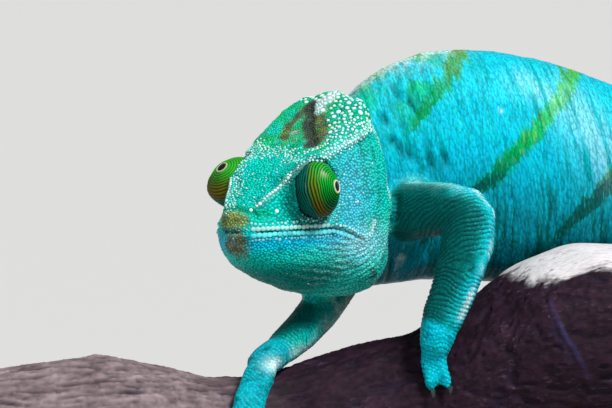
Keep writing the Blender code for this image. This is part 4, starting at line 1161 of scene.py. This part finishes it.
def makeEye(side, centre, seed):
    gaze = unit(np.array(turret[side]))
    hole, rear = math.radians(eyes["hole"]), math.radians(eyes["rear"])
    angles = np.linspace(hole, rear, 100)
    outline = [(hole * share, radius) for share, radius in eyes["lip"]]
    outline += list(zip(angles, smoothly(np.degrees(angles), turret["outline"])))

    def relief(angle, rays):
        grooves = ramp(angle, hole * 0.98, hole * 1.5) * eyes["ringDepth"]
        grooves = grooves * (ringsAt(angle, rays + seed) - 1)
        lip = 0.07 * bell(np.degrees(angle) - eyes["hole"] - 1.4, 1.6)
        return grooves + lip + 0.1 * noise(rays * 7 + seed, 2.4, 63)

    name = f"eyelid_{side}"
    mesh, angle, rays, local = turnedShell(name, outline, 150, centre, gaze, relief)
    ring, degrees = ringsAt(angle, rays + seed), np.degrees(angle)
    back, _, up = local.T
    forward = -back / 7.5
    outer = ramp(degrees, 44, 66) * (0.15 + 0.85 * ramp(forward - up / 12, -0.4, 0.6))
    blotch = noise(rays * 7 + seed, (2.2, 2.2, 1.3), 64)
    warm = np.clip(outer * (0.75 + 0.5 * blotch) + 0.25 * ramp(-up, 3.5, 6.5), 0, 1)
    edge = 1 - ramp(degrees, eyes["hole"] + 1.2, eyes["hole"] + 3.6)
    # a thin pale ring near the lid's base; on the left lid also a pale patch near the top, partly painted
    # highlight
    paleAndLit = bell(degrees - 81, 1.2) * 0.12
    if side == "right":  # more olive all over, with fainter rings
        ring = 0.45 + 0.55 * ring
        warm = np.clip(0.2 + 0.6 * warm + 0.9 * ramp(-up, -4, 2), 0, 1)
    else:
        paleAndLit = np.maximum(paleAndLit, 0.5 * bell(fromSpot(unit(local), (-0.28, -0.62, 0.73)), 0.2))
    edge = np.maximum(edge, paleAndLit * ramp(blotch, -0.7, 0.3) * 0.8) * (0.6 if side == "right" else 1)
    setColours(mesh, "lid", ring, warm, edge)
    base = ramp(degrees + 9 * ramp(forward, -0.2, 0.8), 82, 87)
    # lidShade: the socket skin at the base, the lid painted lighter towards the top and darker below, and
    # painted shade deep in the socket
    setColours(mesh, "lidShade", base, ramp(up, -5, 5), ramp(degrees, 90, 106))
    newPiece(name, mesh, lidMaterial, "eyelids", name)

    flat = math.radians(eyes["corneaFlat"])  # the cornea stands out of the ball with a nearly flat top
    bulge = [
        (a, eyes["ball"] + eyes["cornea"] * math.exp(-((a / flat) ** 6)))
        for a in np.linspace(0.0005, 3.05, 90)
    ]
    name = f"eyeball_{side}"
    mesh, angle, rays, _ = turnedShell(name, bulge, 64, centre, gaze, lambda angle, rays: 0 * angle)
    setColours(mesh, "aim", np.degrees(angle) / eyes["field"], rays[:, 0] * 0.5 + 0.5, 0)
    newPiece(name, mesh, ballMaterial, "eyes", name)


def lidLook(wire):
    (ring, warm, edge), (base, top, shadeAndDark) = wire.stored("lid"), wire.stored("lidShade")
    mottle = wire.noise(700, 3)
    # painted light: darker below, lighter above; painted shade in the ring grooves and deep in the socket
    colour = top.mix((0.002, 0.07, 0.02), (0.003, 0.46, 0.03))
    colour = colour.toward((0.17, 0.09, 0.002), warm * mottle.between(0.3, 0.55))
    colour = colour.toward((0.001, 0.14, 0.11), base) * (0.02 + 1.05 * ring * ring)
    colour = colour.toward((0.001, 0.045, 0.05), shadeAndDark * 0.7).toward((0.8, 0.66, 0.58), edge * 0.9)
    return {"Base Color": colour, "Roughness": 0.34 + mottle * 0.14, "Normal": mottle.bump(0.3, 0.0002)}


def ballLook(wire):
    aim, _, _ = wire.stored("aim")
    edge = eyes["pupil"] / eyes["field"]
    iris = wire.noise(2500, 2).mix((0.35, 0.22, 0.04), (0.75, 0.62, 0.25))
    colour = aim.between(edge - 0.01, edge + 0.01).mix((0.002, 0.002, 0.002), iris)
    return {"Base Color": colour, "Roughness": 0.03 + aim * 0.05}


satin = {"Specular IOR Level": 0.14, "Specular Tint": (0.2, 1, 0.2, 1)}
lidMaterial = newMaterial("turret_skin", lidLook, satin)
wet = {"Specular IOR Level": 0.25, "Coat Weight": 0.35, "Coat Roughness": 0.02}
ballMaterial = newMaterial("wet_eye", ballLook, wet)
makeEye("left", leftEye, 0)
makeEye("right", rightEye, 5)
print("eyes: made")

claws = {"grow": 0.05, "into": 1.6, "length": 0.45, "root": 0.25}


def hornLook(wire):
    grain = wire.noise(900, 3)
    return {
        "Base Color": grain.mix((0.004, 0.014, 0.012), (0.02, 0.05, 0.04)),
        "Roughness": 0.28 + grain * 0.15,
    }


clawPlaces, clawFaces, offset = [], [], 0
for node in clawNodes:
    points, faces = meshOf(node, claws["grow"])
    # the root is drawn back into the toe, so that it grows out of the skin
    away = np.array([fleshTree.find_nearest(p)[3] for p in points.tolist()])
    root = away < away.min() + claws["root"]
    start = points[root].mean(axis=0)
    along = unit(start - points.mean(axis=0))
    points -= (1 - claws["length"]) * ((points - start) @ along)[:, None] * along
    points[root] += claws["into"] * along
    clawPlaces.append(points)
    clawFaces += [[offset + i for i in f] for f in faces]
    offset += len(points)
clawMesh = refined(newMesh("claws", np.concatenate(clawPlaces), clawFaces), 2)
clawMesh.shade_smooth()
newPiece("claws", clawMesh, newMaterial("claw_horn", hornLook), "claws", *clawNodes)

perch = {
    "voxel": 1.4,
    "sink": 0.35,
    "most": 0.45,
    # smooth: the line along the knob's top, round which the bark is bare and painted highlight lies
    "smooth": [(72, -33, -22), (80, -37, -19), (92, -42, -18), (104, -34, -22)],
    # creases: raised lines with painted bluish sheen along them
    "creases": [
        [(66.3, -52.7, -31.6), (66.9, -56, -36), (67.7, -57.5, -38.4), (69.6, -58.7, -42.8),
         (71.4, -59.4, -45.2), (74.2, -59.8, -50.7), (78, -58, -58)],
        [(64.6, -53.2, -32.6), (65.2, -56.3, -37.5), (66.6, -58.3, -42), (69.5, -59.6, -47),
         (72.4, -59.9, -52)],
    ],
}
perchMesh = remeshed(newMesh("perch_bark", *meshOf("perch")), perch["voxel"])
lowEnd, highEnd = (box[0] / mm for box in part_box("perch"))


def fromEnds(points, start, end):
    return ramp(np.minimum(points[:, 0] - lowEnd, highEnd - points[:, 0]), start, end)


points = placesOf(perchMesh)
setPlaces(perchMesh, spread(points, edgesOf(perchMesh), 10, 0.6 * fromEnds(points, 0.8, 2.2)))
perchMesh = refined(perchMesh)
points = placesOf(perchMesh)
body, inside = inBody(points), fromEnds(points, 0.3, 1.2)
x, _, z = body.T
# bare pale wood on the knob's top, partly painted highlight, dimmer towards the head's end as painted shade
paleAndLit = fromLine(body, perch["smooth"])[0] + 3 * noise(body, (9, 2.2, 2.2), 71)
paleAndLit = paleAndLit + noise(body, (5, 0.9, 0.9), 77)
bare = (1 - ramp(paleAndLit, 11, 20)) * ramp(x + 0.5 * z, 44, 54) * (0.62 + 0.38 * ramp(x, 58, 74))
# raised lines on the knob's side, with painted bluish sheen along them
grooves = np.max([bell(fromLine(body, crease)[0], 0.6) for crease in perch["creases"]], axis=0)
grooves = grooves * ramp(z, -62, -38)
drift = body + 4 * noise(body, 22, 72)[:, None]
ribs = noise(drift, (26, 5.5, 5.5), 73)
cracks = ramp(noise(drift, (9, 1.5, 1.5), 78), 0.35, 0.8)
rough = noise(drift, (3.6, 1, 1), 74) + 0.7 * noise(body, 0.8, 79)
lift = 0.45 * noise(body, 12, 75) + (1 - bare) * (0.55 * ribs - 0.8 * cracks + 0.26 * rough)
lift = lift + bare * 0.1 * ribs
lift = np.minimum(lift - perch["sink"] + 0.5 * grooves, perch["most"])
setPlaces(perchMesh, points + normalsOf(perchMesh) * (lift * inside)[:, None])
perchMesh.shade_smooth()
setColours(perchMesh, "bark", bare, cracks * (1 - bare), 1 - inside)
setColours(perchMesh, "barkTone", np.clip(0.5 + 0.5 * rough * (1 - bare), 0, 1), ramp(x, 4, -34), grooves)


def barkLook(wire):
    (bareAndLit, crack, cut), (tone, paler, bluishSheen) = wire.stored("bark"), wire.stored("barkTone")
    along = wire.stretched((0.35, 1, 1))
    grain, fine = wire.noise(260, 6, Vector=along), wire.noise(1100, 4, Vector=along)
    patches = wire.noise(45, 3, Vector=wire.stretched((1, 1, 1)))
    dark = grain.mix((0.002, 0.0006, 0.002), (0.026, 0.008, 0.021))
    dark = dark.toward((0.045, 0.018, 0.042), patches.between(0.5, 0.75) * 0.5)
    dark = dark.toward((0.13, 0.09, 0.12), fine.between(0.56, 0.75) * patches.between(0.4, 0.65) * 0.5)
    light = grain.mix((0.09, 0.055, 0.06), (0.36, 0.29, 0.3))
    # bareAndLit: the knob's bare pale wood with its painted highlight
    bareAndLit = (bareAndLit * (1 + (grain - 0.5) * 2.2 + (fine - 0.5) * 1.2)).between(0.2, 0.85)
    litBareWood = fine.mix((0.46, 0.42, 0.46), (0.86, 0.82, 0.8)) * (0.8 + patches * 0.35)
    colour = dark.toward(light, paler * (0.35 + patches * 0.75)) * (0.45 + tone * 1.1)
    # the bare pale wood with its painted highlight, then painted bluish sheen along the raised lines
    colour = colour.toward(litBareWood, bareAndLit).toward((0.07, 0.07, 0.26), bluishSheen * 0.3)
    # painted shade in the cracks
    colour = colour.toward((0.012, 0.006, 0.018), crack * 0.8)
    return {
        "Base Color": colour.toward(fine.mix((0.3, 0.19, 0.1), (0.52, 0.37, 0.22)), cut),
        "Roughness": 0.72 - bareAndLit * 0.28,
        "Normal": (grain * 0.6 + fine * 0.4).bump(0.7, 0.0008),
    }


barkMaterial = newMaterial("branch_bark", barkLook, {"Specular IOR Level": 0.14})
newPiece("perch_bark", perchMesh, barkMaterial, "bark", "perch")
print("perch: made")

# the stand's solids stay, with better finishes
def woodLook(wire):
    along = wire.stretched((0.12, 1, 1))
    figure, pores = wire.noise(90, 5, Vector=along, Distortion=0.6), wire.noise(900, 2, Vector=along)
    stops = [(0.3, (0.1, 0.05, 0.025)), (0.5, (0.22, 0.12, 0.06)), (0.72, (0.33, 0.2, 0.11))]
    return {
        "Base Color": wire.node("ValToRGB", {"stops": stops}, {0: figure}) * (0.8 + pores * 0.35),
        "Roughness": 0.36 + pores * 0.12,
        "Normal": pores.bump(0.15, 0.0003),
    }


def steelLook(wire):
    brush = wire.noise(400, 3, Vector=wire.stretched((1, 1, 14)))
    grey = brush.mix((0.42, 0.42, 0.44), (0.62, 0.62, 0.64))
    return {"Base Color": grey, "Roughness": 0.22 + brush * 0.2}


wood = newMaterial("base_wood", woodLook)
steel = newMaterial("rod_steel", steelLook, {"Metallic": 1})
for node, finish in {"stand_base": wood, "stand_rod_front": steel, "stand_rod_rear": steel}.items():
    for used in frame["nodes"][node].material_slots:
        used.material = finish

# floor, light and camera
pale = {"Base Color": (0.56, 0.56, 0.55, 1), "Roughness": 0.8, "Specular IOR Level": 0.1}
reach = 40 / mm
floorCorners = [(x * reach, y * reach, 0) for x, y in ((-1, -1), (1, -1), (1, 1), (-1, 1))]
floorMesh = newMesh("floor", floorCorners, [range(4)])
floorMesh.materials.append(newMaterial("pale_floor", lambda wire: {}, pale))
shownObject("floor", floorMesh)

view = {"around": -20, "above": 6, "away": 0.8, "perMetre": 3670, "aside": (26, -24), "wide": 612}
around, above = math.radians(view["around"]), math.radians(view["above"])
back = Vector((math.sin(around) * math.cos(above), -math.cos(around) * math.cos(above), math.sin(above)))
right = Vector((math.cos(around), math.sin(around), 0))
up = back.cross(right)
cameraData = bpy.data.cameras.new("camera")
cameraData.sensor_width = 36
cameraData.lens = 36 * view["perMetre"] * view["away"] / view["wide"]
cameraData.clip_start = 0.01
camera = shownObject("camera", cameraData)
place = Vector(headPlace * mm) + back * view["away"]
place += right * (view["aside"][0] / view["perMetre"]) + up * (view["aside"][1] / view["perMetre"])
camera.matrix_world = Matrix.Translation(place) @ Matrix((right, up, back)).transposed().to_4x4()
bpy.context.scene.camera = camera

# each lamp shines from a direction given as right, up and towards the camera
lamps = {
    "key": {"from": (0.5, 0.85, 0.55), "spread": 18, "strength": 4.2},
    "fill": {"from": (-0.6, 0.5, 0.9), "spread": 60, "strength": 0.55},
}
for name, lamp in lamps.items():
    data = bpy.data.lights.new(name, "SUN")
    data.angle, data.energy = math.radians(lamp["spread"]), lamp["strength"]
    ahead = right * lamp["from"][0] + up * lamp["from"][1] + back * lamp["from"][2]
    shownObject(name, data).rotation_euler = ahead.to_track_quat("Z", "Y").to_euler()
world = bpy.data.worlds.new("studio")
world.use_nodes = True
backdrop = world.node_tree.nodes["Background"]
backdrop.inputs[0].default_value = (0.95, 0.97, 1, 1)
backdrop.inputs[1].default_value = 0.2
bpy.context.scene.world = world
bpy.context.scene.view_settings.view_transform = "Standard"
